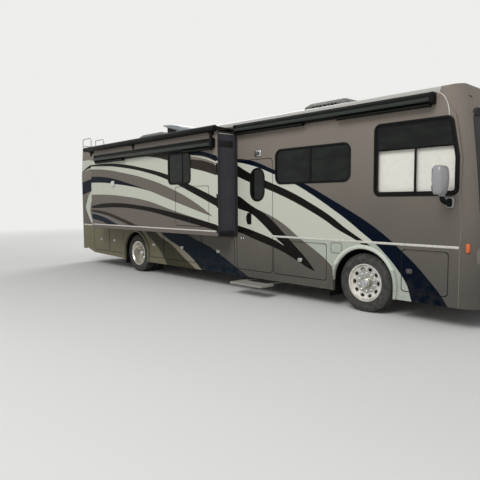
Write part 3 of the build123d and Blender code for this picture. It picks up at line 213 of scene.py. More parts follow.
# Paint layers in painting order: colour, height limits, then the upper and the lower edge as x and z in turn
# in centimetres, with x from the front axle, and STREET where the layer is on that wall alone
HIGH, TALL, SKIRT, OVER_BELT = (1.2, 3.3), (0.2, 3.3), (0.2, 1.09), (1.12, 3.3)
LAYERS = [
    # Slide-out
    (MAUVE, (1.09, 3.3), (-805, 162, -500.3, 160, -290.5, 140), (-805, 0, -290.5, 0)),
    (CREAM, HIGH, (-805, 283, -660.1, 282, -553.2, 278, -492.3, 271, -454.3, 266, -290.5, 245),
     (-805, 195, -720.1, 194, -648.2, 190, -536.3, 178, -429.4, 156, -290.5, 130.5)),
    (BLACK, HIGH, (-805, 272, -720.1, 271, -645.2, 266, -533.3, 249, -450.3, 232, -371.4, 208, -290.5, 181),
     (-805, 268, -720.1, 265, -645.2, 258, -534.3, 241, -450.3, 221, -371.4, 194, -290.5, 165)),
    (TAUPE, HIGH, (-805, 261, -720, 256, -645, 246, -534, 227, -437, 202, -351, 170, -304, 146),
     (-805, 242, -708, 236, -617, 220, -525, 200, -426, 175, -331, 152, -304, 146)),
    (NAVY, HIGH, (-805, 242, -708, 236, -617, 220, -520, 199),
     (-805, 226, -730, 224, -684, 220, -589, 210, -520, 199)),
    (BROWN, HIGH, (-660, 288, -550.1, 290, -460.3, 282, -370.4, 260, -329.4, 254, -290.5, 243),
     (-660, 282, -620.1, 280, -553.1, 278, -492.2, 271, -454.3, 263, -370.4, 242, -330.4, 234, -290.5, 224)),
    (CREAM, HIGH, (-440, 279, -372.2, 268, -329.4, 261, -290.5, 249),
     (-440, 277, -372.2, 265.5, -329.4, 258.5, -290.5, 246.5)),
    (NAVY, HIGH, (-440, 281, -390.2, 279, -349.3, 275, -290.5, 261),
     (-440, 280, -372.2, 269, -329.4, 263, -290.5, 250)),
    (BLACK, HIGH, (-805, 164, -780, 168, -699.1, 173, -563.2, 167, -429.4, 152, -290.5, 130),
     (-805, 160, -787, 160, -649.2, 162, -537.3, 155, -429.4, 140, -290.5, 119)),
    # Slide-out, low at the rear
    (BROWN, (1.2, 1.62), (-805, 156, -720, 150, -651, 137, -582, 122, -530, 110),
     (-805, 150, -720, 142, -651, 129, -582, 114, -530, 104)),
    (TEAL, (1.2, 1.5), (-805, 146, -740, 138, -690, 126, -630, 110), (-805, 132, -760, 128, -710, 118, -630, 100)),
    (SILVER, (1.2, 1.5), (-805, 149, -730, 141, -670, 128, -600, 112), (-805, 147, -730, 139, -670, 125.5, -600, 109)),
    # Round the front arch
    (CREAM, TALL, (-293, 253, -244, 243, -198, 228, -138, 205, -98, 185, -54, 160),
     (-293, 176, -260, 170, -237, 162, -193, 147, -159, 131, -131, 113, -97, 94, -71, 78, -54, 64)),
    (CREAM, TALL, (-54, 160, -29, 145, -1, 126, 21, 111, 42, 93, 60, 74, 75, 53, 90, 20), (-54, 10, 90, 10)),
    # Darker, greener cream below the belt round the front arch: painted shade
    (SHADED_CREAM, (0.2, 1.112), (-131, 130, -10, 130, 21, 113, 42, 94, 60, 75, 75, 54, 90, 20),
     (-131, 113, -97, 94, -71, 78, -54, 64, -45, 10, 90, 10)),
    (BLACK, TALL, (-293, 190, -279, 184, -249, 168, -205, 148, -163, 117, -141, 99, -114, 77, -93, 56),
     (-293, 115, -279, 114, -245, 105, -197, 93, -163, 83, -131, 70, -110, 61, -93, 56)),
    (CREAM, TALL, (-293, 164, -279, 160, -249, 152, -225, 138, -193, 115, -163, 95),
     (-293, 130, -279, 127, -254, 122, -217, 113, -185, 104, -163, 95)),
    (BLACK, TALL, (-293, 249, -248, 227, -212, 214, -145, 190, -107, 173, -65.2, 152, -33.3, 132, -0.2, 113.4, 16,
      104, 33, 91),
     (-293, 226, -248, 210, -212, 199, -193, 193, -149, 177, -111, 161, -73.2, 143, -50.2, 130, -10.4, 112, 4.3,
      103.2, 33, 90)),
    (NAVY, TALL, (-293, 258, -244, 251, -198, 235, -114, 203, -72, 183, -30, 162, 13, 139, 42, 120, 64, 103, 89, 82,
      107, 64, 123, 47, 140, 22),
     (-293, 252, -244, 242, -198, 227, -138, 204, -98, 184, -59, 162, -29, 144, -1, 125, 21, 110, 42, 92, 60, 73, 75,
      52, 86, 25, 140, 0)),
    # Skirt
    (OLIVE, SKIRT, (-980, 130, -640, 130, -620, 116, -571, 72, -530, 30), (-980, 0, -530, 0)),
    (OLIVE_DARK, SKIRT, (-650, 160, -564, 98, -508, 76, -470, 55, -420, 28),
     (-650, 130, -620, 103, -571, 72, -540, 47, -530, 30, -420, 0)),
    (LIGHT_TAUPE, SKIRT, (-630, 150, -538, 96, -469, 70, -432, 51, -385, 22),
     (-630, 138, -564, 98, -508, 76, -470, 55, -420, 28, -385, 10)),
    (TEAL, SKIRT, (-590, 160, -431, 97, -371, 80, -311, 54, -240, 22),
     (-590, 130, -538, 96, -469, 70, -432, 51, -385, 22, -240, 0)),
    # Tails of the slide's upper bands
    (CREAM, HIGH, (-895, 234, -875, 257, -840, 276, -805, 283), (-895, 233, -875, 214, -840, 199, -805, 195), STREET),
    (BLACK, HIGH, (-870, 263, -840, 270, -805, 272), (-870, 262.5, -840, 267, -805, 268), STREET),
    (TAUPE, HIGH, (-890, 245, -850, 257, -805, 261), (-890, 239, -850, 240, -805, 242), STREET),
    # Behind the slide
    (CREAM, HIGH, (-980, 295, -805, 293), (-980, 262, -938, 265, -805, 280)),
    (BLACK, HIGH, (-950, 263, -882, 283, -805, 286), (-950, 263, -882, 273, -805, 276)),
    (NAVY, HIGH, (-980, 230, -966, 231, -885, 241, -805, 242),
     (-980, 192, -969, 193, -934, 200, -886, 209, -805, 226)),
    (CREAM, OVER_BELT, (-933, 161, -920, 185, -910.7, 197, -880, 212, -805, 226),
     (-933, 160, -920, 140, -910.7, 128, -896.3, 114.8, -805, 100)),
    (TAUPE, OVER_BELT, (-906, 153, -897, 178, -880, 190, -805, 195),
     (-906, 152, -902.7, 140, -893, 126, -870, 112, -805, 100)),
    # Tails of the rear bands, joins ahead of the slide, tails of its lower bands
    (CREAM, HIGH, (-805, 293, -760, 292, -710, 290), (-805, 280, -760, 284, -710, 289), STREET),
    (BLACK, HIGH, (-805, 286, -760, 286, -720, 284.5), (-805, 276, -760, 279, -720, 284), STREET),
    (BLACK, HIGH, (-360, 204.3, -292, 189.5), (-360, 190, -292, 164), STREET),
    (BLACK, HIGH, (-390, 265, -330, 254.8, -292, 248.5), (-390, 264.5, -292, 225.5), STREET),
    (NAVY, HIGH, (-294, 262, -250, 252), (-294, 250.5, -250, 243.5), STREET),
    (BLACK, HIGH, (-855, 156, -830, 161, -805, 164), (-855, 155.5, -830, 157.5, -805, 160), STREET),
    (BROWN, (1.2, 1.62), (-845, 153.5, -805, 156), (-845, 153, -805, 150), STREET),
    (TEAL, (1.2, 1.5), (-840, 142.5, -805, 146), (-840, 142, -805, 132), STREET),
]
# Height in centimetres that the edge curves count as 1
TABLE_Z = 400
# The painted lip round the front wheel arch: radius, and the height it starts at
LIP_R, LIP_Z = 0.603, 0.72


def edge_curve(finish, along, points):
    """The height of a paint edge at a share of its length, from its x and z points."""
    node = finish.add("ShaderNodeFloatCurve")
    curve = node.mapping.curves[0]
    first, last = points[0], points[-2]
    places = [((x - first) / (last - first), z / TABLE_Z) for x, z in zip(points[::2], points[1::2])]
    curve.points[0].location = places[0]
    curve.points[-1].location = places[-1]
    for place in places[1:-1]:
        curve.points.new(*place)
    node.mapping.update()
    finish.put(node.inputs["Value"], along)
    return Value(finish, node.outputs[0]) * (TABLE_Z / 100)


def body_paint(name, slide=False):
    """Base coat with the swooping bands, metallic flake, clear coat and dust, lighter towards the top as a painted sky
    reflection; a slide's ends, top and underside are charcoal."""
    f = Finish(name, Coat_Weight=0.06, Coat_Roughness=0.03, Specular_IOR_Level=0.03)
    x, y, z = f.xyz()
    rel = x - FRONT_AXLE
    flake = f.noise(90, 2)
    # Painted sky reflection: the base coat grows lighter towards the top
    painted_sky_reflection = (z + f.noise(0.8, 2)).span(1.0, 3.7)
    colour = f.mix(painted_sky_reflection, rgb(89, 87, 81), rgb(134, 125, 116))
    for paint, limits, upper, lower, *wall in LAYERS:
        ends = upper[0] / 100, upper[-2] / 100
        t = rel.span(*ends)
        above = z - edge_curve(f, t, lower)
        below = edge_curve(f, t, upper) - z
        inside = (f.math("MINIMUM", above, below) > 0.0) * (rel.within(*ends) * z.within(*limits))
        if wall:
            inside = inside * (y > 0.0)
        colour = f.mix(inside, colour, paint)
    # The front arch lip is one cream all round, lighter than the field: partly its own colour, partly a painted
    # highlight
    lip = (f.length(rel, z - AXLE_Z) < LIP_R) * (z > LIP_Z)
    colour = f.mix(lip, colour, HIGHLIT_LIP_CREAM)
    normal_y = f.xyz("Normal")[1]
    inward = normal_y * f.math("SIGN", y) < -0.6
    colour = f.mix(inward, colour, rgb(196, 190, 178))
    tone = flake.span(0.3, 0.7, 0.985, 1.015)
    colour = f.mix(1.0, colour, f.feed("ShaderNodeCombineColor", (tone, tone, tone)), "MULTIPLY")
    dust = z.span(0.75, 0.28) * f.noise(7, 4).span(0.4, 0.75)
    colour = f.mix(dust * 0.16, colour, rgb(128, 118, 98))
    if slide:
        colour = f.mix(abs(normal_y) < 0.5, colour, rgb(76, 75, 80))
    f.set(Base_Color=colour, Roughness=f.noise(14, 3).span(0.3, 0.7, 0.24, 0.34))
    f.bump(f.noise(1.4, 2), 0.003, 0.2)
    return f


def plain(name, colour, other, scale=8.0, depth=0.0, stretch=(1, 1, 1), rough=(0.4, 0.6), **sockets):
    """A finish of two mottled tones with uneven gloss, and a grain where depth is set."""
    f = Finish(name, rgb(*colour), **sockets)
    grain = f.noise(scale, 4, stretch)
    f.set(Base_Color=f.mix(grain.span(0.3, 0.7), rgb(*colour), rgb(*other)),
          Roughness=f.noise(scale * 2.3, 3, stretch).span(0.3, 0.7, *rough))
    if depth:
        f.bump(grain, depth, 0.6)
    return f


def tinted_glass():
    """Dark privacy glass, clear over the cab's lower panes, its colour mottled green-grey as a painted reflection."""
    f = Finish("tinted_glass", Roughness=0.04, Specular_IOR_Level=0.25)
    x, y, z = f.xyz()
    cab = x.within(at(0.1), at(1.5)) * (z < 2.48)
    painted_reflection = f.noise(3.0, 3, (1, 1, 2.5)).span(0.42, 0.62)
    f.set(Alpha=cab.span(0.0, 1.0, 0.9, 0.04), Base_Color=f.mix(painted_reflection * 0.8, rgb(8, 10, 10), rgb(24, 33, 26)))
    return f


def from_axle(f):
    """The way from the wheel's axis forwards and up, for either axle."""
    x, y, z = f.xyz()
    return x - (x > 0.5).span(0, 1, REAR_AXLE, FRONT_AXLE), z - AXLE_Z


def tyre_rubber():
    f = Finish("tyre_rubber", Roughness=0.8)
    dx, dz = from_axle(f)
    radius = f.length(dx, dz)
    base = f.mix(f.noise(16, 5).span(0.35, 0.7), rgb(44, 44, 43), rgb(76, 74, 69))
    lane = (abs(f.xyz()[1]) * 150.0).sine()
    sipe = (f.math("ARCTAN2", dz, dx) * 70.0 + lane * 1.4).sine()
    # Tread grooves and a thin ring on the sidewall are painted near-black: painted shade; the grooves are bumped in as
    # well
    shaded_groove = (radius > 0.452) * f.math("MAXIMUM", lane.span(0.75, 0.95), sipe.span(0.7, 0.9))
    line = radius.within(0.428, 0.434) * 0.6
    f.set(Base_Color=f.mix(f.math("MAXIMUM", shaded_groove, line), base, rgb(20, 20, 20)))
    rings = radius.within(0.31, 0.42) * (radius * 420.0).sine().span(0.6, 1.0)
    f.bump(rings - shaded_groove * 4.0, 0.002, 0.8)
    return f


def polished_rim():
    f = Finish("polished_rim", Metallic=0.7)
    radius = f.length(*from_axle(f))
    tone = f.mix(f.noise(9, 3).span(0.5, 0.85), rgb(236, 232, 224), rgb(184, 174, 156))
    tone = f.mix(f.noise(1.0, 2).span(0.4, 0.6) * 0.3, tone, rgb(204, 202, 198))
    # Within about 0.2 m of the axis the disc is painted darker and greener: painted shade of the dished centre
    f.set(Base_Color=f.mix(radius.span(0.2, 0.165, 0.0, 0.6), tone, rgb(132, 134, 120)),
          Roughness=f.noise(12, 3).span(0.3, 0.7, 0.2, 0.34))
    f.bump((radius * 900.0).sine(), 0.00004, 0.2)
    return f


def lamp_lens():
    """Clear lens in front, red, amber and white bands behind."""
    f = Finish("lamp_lens", Roughness=0.08, Coat_Weight=0.6)
    x, y, z = f.xyz()
    tail = f.mix(z.within(1.24, 1.33), rgb(150, 12, 14), rgb(214, 110, 22))
    tail = f.mix(z.within(1.12, 1.21), tail, rgb(214, 214, 210))
    front = f.mix(abs(y) > 1.17, rgb(206, 210, 214), TAUPE)
    f.set(Base_Color=f.mix(x < 0.0, front, tail))
    f.bump((y * 500.0).sine() * (z * 500.0).sine(), 0.0015, 0.7)
    return f


def roof_finish():
    """Pale membrane on top, a smoother pale grey on the rounded edges."""
    f = Finish("roof_finish")
    edge = abs(f.xyz()[1]) > 1.225
    white = f.mix(f.noise(5, 5, (0.4, 2, 1)).span(0.4, 0.7), rgb(186, 184, 178), rgb(172, 170, 163))
    f.set(Base_Color=f.mix(edge, white, rgb(176, 174, 168)), Roughness=edge.span(0, 1, 0.65, 0.3))
    f.bump(f.noise(260, 2), 0.001, 0.3)
    return f


def fabric(name, colour, other, weave=900.0):
    """Woven cloth: warp and weft ridges with a mottled tone."""
    f = Finish(name, Roughness=0.9, Sheen_Weight=0.2)
    x, y, z = f.xyz()
    f.set(Base_Color=f.mix(f.noise(18, 4).span(0.35, 0.65), rgb(*colour), rgb(*other)))
    f.bump(f.math("MAXIMUM", (x * weave).sine(), ((y + z) * weave).sine()), 0.0006, 0.6)
    return f


PAINTED = body_paint("body_paint")
GLASS = tinted_glass()
METAL = plain("bright_aluminium", (190, 191, 190), (164, 166, 168), 30, rough=(0.2, 0.4), Metallic=0.85)
CHROME = plain("chrome", (214, 216, 218), (190, 192, 194), 40, rough=(0.06, 0.16), Metallic=0.95)
TRIM = plain("black_trim", (9, 9, 10), (16, 16, 16), 40, 0.0003, rough=(0.4, 0.55), Specular_IOR_Level=0.14)
RUBBER = plain("black_rubber", (16, 16, 17), (28, 28, 28), 60, 0.0005, rough=(0.6, 0.8))
CASE = plain("awning_case", (9, 12, 10), (17, 20, 17), 12, 0.0004, (0.2, 1, 1), (0.4, 0.55), Specular_IOR_Level=0.12)
PALE = plain("pale_moulding", (218, 217, 208), (192, 190, 180), 25, rough=(0.3, 0.45), Metallic=0.15)
SILVER_PAINT = plain("silver_paint", (152, 151, 153), (140, 139, 142), 60, rough=(0.25, 0.35), Coat_Weight=0.4)
SHROUD = plain("shroud_plastic", (108, 109, 103), (92, 93, 87), 6, 0.001, rough=(0.45, 0.6))
VENT = plain("vent_plastic", (130, 136, 138), (112, 118, 120), 9, 0.0006, rough=(0.3, 0.45))
CHASSIS = plain("chassis_black", (24, 24, 24), (48, 42, 36), 12, 0.002, rough=(0.6, 0.85))
IRON = plain("engine_iron", (58, 58, 58), (84, 78, 70), 14, 0.003, rough=(0.5, 0.8), Metallic=0.4)
DECK = plain("deck_grey", (92, 90, 86), (70, 68, 64), 18, 0.001, rough=(0.6, 0.8))
INTERIOR = plain("interior_white", (202, 196, 184), (186, 180, 168), 6, 0.0008, rough=(0.6, 0.75))
LEATHER = plain("seat_leather", (168, 158, 142), (150, 140, 124), 120, 0.0012, rough=(0.45, 0.6))
STEP = plain("step_tread", (168, 166, 156), (134, 132, 124), 180, 0.003, rough=(0.55, 0.8))
AMBER = plain("amber_lens", (226, 108, 24), (206, 88, 14), 60, 0.0006, rough=(0.1, 0.2), Coat_Weight=0.5)
RED = plain("red_lens", (150, 16, 18), (120, 8, 12), 60, 0.0006, rough=(0.1, 0.2), Coat_Weight=0.5)
LENS = plain("clear_lens", (206, 210, 214), (176, 182, 190), 70, 0.0008, rough=(0.05, 0.12), Coat_Weight=0.5)
SMOKED = plain("smoked_lens", (78, 74, 68), (58, 54, 50), 60, 0.0006, rough=(0.1, 0.2), Coat_Weight=0.4)
RAIL = plain("awning_rail", (44, 50, 44), (30, 34, 30), 10, 0.0004, (0.2, 1, 1), (0.3, 0.45), Specular_IOR_Level=0.3)
# A darker copy of the pale moulding: painted shade, worn by the cap seam's lower run
SHADED_PALE = plain("pale_moulding_shaded", (128, 124, 116), (108, 104, 96), 25, rough=(0.3, 0.45))
SEAM = plain("door_seal", (40, 38, 34), (28, 27, 25), 30, 0.0003, rough=(0.6, 0.8), Specular_IOR_Level=0.15)
CLOTH = fabric("awning_fabric", (30, 31, 30), (46, 47, 45))
BLIND = fabric("blind_fabric", (252, 250, 240), (246, 244, 232), 2400.0)
WORN_BY = (
    (GLASS, "side_windows windshield entry_door_glass slide_curb_glass slide_street_glass"),
    (roof_finish(), "roof_shell"), (lamp_lens(), "lamps"), (TRIM, "front_grille dashboard steering_wheel"),
    (SILVER_PAINT, "mirrors"), (SHROUD, "air_conditioners"), (VENT, "roof_vent_lid"), (METAL, "rear_ladder"),
    (CASE, "patio_awning slide_curb_awnings slide_street_awnings"),
    (CHASSIS, "chassis_frame front_axle rear_axle knuckle_left knuckle_right"), (IRON, "engine_block"),
    (DECK, "floor_deck storage_bays"), (LEATHER, "cab_seats"), (INTERIOR, "interior_fittings"),
    (STEP, "entry_step"), (CLOTH, "topper_fabric"),
)
FINISHES = {node: finish for finish, nodes in WORN_BY for node in nodes.split()}
# Finishes of the other nodes, by how their names begin
FAMILIES = (("slide_", body_paint("slide_paint", True)), ("tyre", tyre_rubber()), ("rim", polished_rim()),
            ("", PAINTED))
for node_name, node in NODES.items():
    family = [finish for start, finish in FAMILIES if node_name.startswith(start)]
    node.data.materials.clear()
    node.data.materials.append(FINISHES.get(node_name, family[0]).mat)

# Forms: loops of points, which of the end loops are filled, and whether each loop closes
OPEN, CAPPED, SHUT = (False, False), (False, True), (True, True)


def build(name, finish, body, forms, angle=35, thick=0.0):
    """Turn forms into a piece with its finish that rides on a body."""
    shape = bmesh.new()
    for loops, ends, closed in forms:
        rows = [[shape.verts.new(point) for point in loop] for loop in loops]
        count = len(rows[0])
        for a, b in zip(rows, rows[1:]):
            for n in range(count if closed else count - 1):
                m = (n + 1) % count
                shape.faces.new((a[n], a[m], b[m], b[n]))
        for filled, row in zip(ends, (rows[0], rows[-1])):
            if filled:
                shape.faces.new(row)
    if thick:
        bmesh.ops.solidify(shape, geom=shape.faces[:], thickness=thick)
    bmesh.ops.recalc_face_normals(shape, faces=shape.faces)
    mesh = bpy.data.meshes.new(name)
    shape.to_mesh(mesh)
    shape.free()
    for face in mesh.polygons:
        face.use_smooth = True
    mesh.set_sharp_from_angle(angle=math.radians(angle))
    mesh.materials.append(finish.mat)
    piece = bpy.data.objects.new(name, mesh)
    bpy.context.scene.collection.objects.link(piece)
    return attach(piece, body)


def skin(loops, ends=SHUT, closed=True):
    return loops, ends, closed


def sheet(rows):
    return skin(rows, OPEN, False)


def outline(corners, radius, grow=0.0, steps=6):
    """A convex outline with rounded corners, grown outwards. Corners go round anticlockwise."""
    count = len(corners)
    lines = []
    for n in range(count):
        (x0, z0), (x1, z1) = corners[n], corners[(n + 1) % count]
        length = math.hypot(x1 - x0, z1 - z0)
        ux, uz = (x1 - x0) / length, (z1 - z0) / length
        lines.append((x0 + uz * grow, z0 - ux * grow, ux, uz))
    points = []
    for n in range(count):
        ax, az, au, aw = lines[n - 1]
        bx, bz, bu, bw = lines[n]
        turn = au * bw - aw * bu
        t = ((bx - ax) * bw - (bz - az) * bu) / turn
        px, pz = ax + au * t, az + aw * t
        r = max(radius + grow, 0.001)
        half = math.atan2(turn, au * bu + aw * bw) / 2
        back = r * math.tan(half)
        cx, cz = px - au * back - aw * r, pz - aw * back + au * r
        start = math.atan2(pz - aw * back - cz, px - au * back - cx)
        for k in range(steps + 1):
            angle = start + 2 * half * k / steps
            points.append((cx + r * math.cos(angle), cz + r * math.sin(angle)))
    return points


def box_corners(x0, x1, z0, z1):
    return [(x0, z0), (x1, z0), (x1, z1), (x0, z1)]


def mm(pairs):
    """Pairs of millimetres in metres."""
    return [(a / 1000, b / 1000) for a, b in pairs]


def on_side(side, face_y, loop, out):
    """Points of an outline on a side of the body, out from its face."""
    return [(x, side * (face_y + out), z) for x, z in loop]


def rim(side, face_y, corners, radius, profile):
    """A frame along an outline, x from the front axle: profile is (grow, out) from edge and face in millimetres."""
    corners = [(at(x), z) for x, z in corners]
    loops = [on_side(side, face_y, outline(corners, radius, grow), out) for grow, out in mm(profile)]
    return skin(loops + loops[:1], OPEN)


def boss(side, face_y, x, z, width, height, radius, levels):
    """A raised pad on a side, x from the front axle: levels are (grow, out) in millimetres, the last one capped."""
    x = at(x)
    corners = box_corners(x - width / 2, x + width / 2, z - height / 2, z + height / 2)
    return skin([on_side(side, face_y, outline(corners, radius, grow, 4), out) for grow, out in mm(levels)], CAPPED)


def knob(name, finish, body, *place):
    build(name, finish, body, [boss(*place)])


def pad(place, normal, up, width, height, radius, levels, ends=CAPPED):
    """A raised pad anywhere: levels are (grow, out) from its outline, in millimetres."""
    normal = Vector(normal).normalized()
    across = Vector(up).cross(normal).normalized()
    rise = normal.cross(across)
    flat = box_corners(-width / 2, width / 2, -height / 2, height / 2)
    return skin([[Vector(place) + a * across + b * rise + out * normal for a, b in outline(flat, radius, grow, 5)]
                 for grow, out in mm(levels)], ends)


def circle(x, y, z, radius, steps):
    """Points round a wheel's or a nut's axis."""
    turns = [2 * math.pi * k / steps for k in range(steps)]
    return [(x + radius * math.cos(a), y, z + radius * math.sin(a)) for a in turns]


def tube(path, radius, sides=10, ends=SHUT):
    """A round tube along points."""
    points = [Vector(p) for p in path]
    loops = []
    normal = None
    for n, point in enumerate(points):
        ahead = (points[min(n + 1, len(points) - 1)] - points[max(n - 1, 0)]).normalized()
        if normal is None:
            normal = ahead.orthogonal().normalized()
        normal = (normal - ahead * normal.dot(ahead)).normalized()
        other = ahead.cross(normal)
        r = radius[n] if isinstance(radius, list) else radius
        turns = [2 * math.pi * k / sides for k in range(sides)]
        loops.append([point + r * (math.cos(a) * normal + math.sin(a) * other) for a in turns])
    return skin(loops, ends)


def bend(points, steps=6):
    """A smooth line through control points."""
    pts = [Vector(p) for p in points]
    pts = [2 * pts[0] - pts[1]] + pts + [2 * pts[-1] - pts[-2]]
    out = []
    for n in range(1, len(pts) - 2):
        a, b, c, d = pts[n - 1:n + 3]
        for k in range(steps):
            t = k / steps
            out.append(0.5 * (2 * b + (c - a) * t + (2 * a - 5 * b + 4 * c - d) * t * t
                              + (3 * b - a - 3 * c + d) * t ** 3))
    return out + [pts[-2]]


def strip(side, face_y, path, profile):
    """A moulding along x, z points on a side: profile is (across, out) pairs in millimetres."""
    loops = []
    for n, (x, z) in enumerate(path):
        x0, z0 = path[max(n - 1, 0)]
        x1, z1 = path[min(n + 1, len(path) - 1)]
        length = math.hypot(x1 - x0, z1 - z0)
        nx, nz = -(z1 - z0) / length, (x1 - x0) / length
        loops.append([(x + nx * w, side * (face_y + out), z + nz * w) for w, out in mm(profile)])
    return skin(loops)


def bar(x0, x1, section):
    """A straight bar between two x from the front axle, with a section of y, z points."""
    return skin([[(at(x), y, z) for y, z in section] for x in (x0, x1)])


# Window frames: body, side, face, corners from the front axle, corner radius, inner black border
CAB_WINDOW = [(0.2, 1.832), (1.452, 1.832), (1.452, 2.330), (1.357, 2.860), (0.2, 2.860)]
WINDOWS = {
    "cab_curb": ("coach", CURB, HALF, CAB_WINDOW, 0.08, 45),
    "cab_street": ("coach", STREET, HALF, CAB_WINDOW, 0.08, 45),
    "dinette": ("coach", CURB, HALF, box_corners(-1.83, -0.26, 2.07, 2.65), 0.11, 16),
    "rear_street": ("coach", STREET, HALF, box_corners(-8.6, -7.5, 2.07, 2.65), 0.11, 16),
    "door": ("entry_door", CURB, HALF, box_corners(-2.48, -2.14, 1.77, 2.35), 0.16, 14),
    "slide_curb": ("slide_out_curb", CURB, SLIDE_Y, box_corners(-4.48, -3.74, 2.13, 2.74), 0.09, 18),
    "slide_street_rear": ("slide_out_street", STREET, SLIDE_Y, box_corners(-5.5, -4.1, 1.95, 2.74), 0.09, 18),
    "slide_street_front": ("slide_out_street", STREET, SLIDE_Y, box_corners(-2.7, -1.3, 1.95, 2.74), 0.09, 18),
}
FRAME_PROFILE = [(23, -1), (23, 8.5), (18, 11), (-3, 11), (-8, 6), (-10, -6)]
for name, (body, side, face_y, corners, radius, border) in WINDOWS.items():
    profile = FRAME_PROFILE + [(-border, -6.5), (-border, -7.8)]
    build(f"window_frame_{name}", TRIM, body, [rim(side, face_y, corners, radius, profile)])
# Bars across the panes: window, then rear and front x, low and high z
CAB_BARS = [(0.2, 1.42, 2.475, 2.512), (0.825, 0.86, 1.85, 2.48)]
BARS = {
    "cab_curb": CAB_BARS,
    "cab_street": CAB_BARS,
    "dinette": [(-1.07, -1.03, 2.08, 2.64)],
    "rear_street": [(-8.07, -8.03, 2.08, 2.64)],
    "slide_curb": [(-4.02, -3.99, 2.14, 2.73)],
    "slide_street_rear": [(-4.82, -4.78, 1.96, 2.73)],
    "slide_street_front": [(-2.02, -1.98, 1.96, 2.73)],
}
BAR_LEVELS = [(0, -7.8), (0, -3), (-4, 0)]
for name, bars in BARS.items():
    body, side, face_y = WINDOWS[name][:3]
    build(f"window_bars_{name}", TRIM, body,
          [boss(side, face_y, (x0 + x1) / 2, (z0 + z1) / 2, x1 - x0, z1 - z0, 0.004, BAR_LEVELS)
           for x0, x1, z0, z1 in bars])

# Belt, cap and slide mouldings
HALF_ROUND = [(-13, -1), (-13, 3), (-8, 6.5), (0, 8), (8, 6.5), (13, 3), (13, -1)]
BELT_PROFILE = [(w * 1.35, out * 1.3) for w, out in HALF_ROUND]
CAP_PROFILE = [(w * 0.4, out * 0.5) for w, out in HALF_ROUND]
BELT_Z, SLIDE_BELT_Z = 1.112, 1.18
# The lower run of the cap seam wears a darker copy of the pale moulding: painted shade
CAP_SEAMS = (
    ("low", SHADED_PALE, [(1.502, 0.3), (1.502, 1.1), (1.507, 1.22), (1.511, 1.41), (1.505, 1.55), (1.496, 1.65),
                        (1.478, 1.78), (1.47, 1.85)]),
    ("high", PALE, [(1.317, 2.885), (1.308, 2.968), (1.29, 3.044), (1.244, 3.135), (1.2, 3.18), (1.15, 3.203)]),
)
BELT_RUNS = (((-9.45, -8.04), (-1.918, 1.49)), ((-9.45, -5.985), (-0.615, 1.49)))
SLIDE_RUNS = ((-7.94, -2.94), (-5.88, -0.72))
for (word, side), runs, slide_run in zip(SIDES, BELT_RUNS, SLIDE_RUNS):
    build(f"belt_moulding_{word}", PALE, "coach",
          [strip(side, HALF, [(at(x), BELT_Z) for x in run], BELT_PROFILE) for run in runs])
    for place, finish, seam in CAP_SEAMS:
        line = bend([(at(x), 0, z) for x, z in seam], 4)
        build(f"cap_seam_{place}_{word}", finish, "coach",
              [strip(side, HALF, [(point.x, point.z) for point in line], CAP_PROFILE)])
    build(f"slide_moulding_{word}", PALE, f"slide_out_{word}",
          [strip(side, SLIDE_Y, [(at(x), SLIDE_BELT_Z) for x in slide_run], HALF_ROUND)])

# Rounded lips over the wheel arches
ARCH_R, ARCH_FOOT_Z = 0.571, 0.42
ARCH_PROFILE = [(-28, 22), (-26, 29), (-15, 36), (0, 39), (15, 36), (26, 29), (28, 22)]
for word, side in SIDES:
    for end, axle in (("front", FRONT_AXLE), ("rear", REAR_AXLE)):
        turns = [math.pi * k / 40 for k in range(41)]
        arc = [(axle - ARCH_R * math.cos(a), AXLE_Z + ARCH_R * math.sin(a)) for a in turns]
        path = [(axle - ARCH_R, ARCH_FOOT_Z)] + arc + [(axle + ARCH_R, ARCH_FOOT_Z)]
        build(f"arch_lip_{end}_{word}", PAINTED, "coach", [strip(side, HALF, path, ARCH_PROFILE)], 50)

# Rubber seals round the slide openings, flat under the flange and thicker outside it
SEAL_PROFILE = [(9, -1), (9, 3), (42, 3), (45, 16), (66, 18), (74, 12), (74, -1)]
for (word, side), ends in zip(SIDES, ((-7.957, -2.923), (-5.9, -0.7))):
    build(f"slide_seal_{word}", RUBBER, "coach",
          [rim(side, HALF, box_corners(*ends, 1.125, 3.080), 0.005, SEAL_PROFILE)])

# Bay door latches: paddles in a shallow cup
LATCH_Z = 0.73
LATCH_X = ((-8.42, -7.71, -5.83, -4.70, -3.46, -1.27, 0.78), (-8.05, -5.15, -3.36, -1.58, 0.78))
CUP = [(0, -1), (0, 6), (-6, 11), (-14, 11), (-18, 4)]
PADDLE = [(0, 3), (0, 12), (-6, 17)]
# The front latches (x > 0) wear the dark smoked finish as a painted reflection of dark surroundings; the others are
# bright metal
for (word, side), places in zip(SIDES, LATCH_X):
    for number, x in enumerate(places, 1):
        build(f"latch_{word}_{number}", SMOKED if x > 0 else METAL, f"bay_door_{word}_{number}",
              [boss(side, HALF, x, LATCH_Z, 0.1, 0.07, 0.026, CUP),
               boss(side, HALF, x, LATCH_Z - 0.004, 0.045, 0.036, 0.012, PADDLE)])
knob("media_hatch_latch", TRIM, "media_hatch", CURB, SLIDE_Y, -3.75, 1.36, 0.085, 0.065, 0.02,
     [(0, -1), (0, 8), (-10, 13), (-20, 8)])

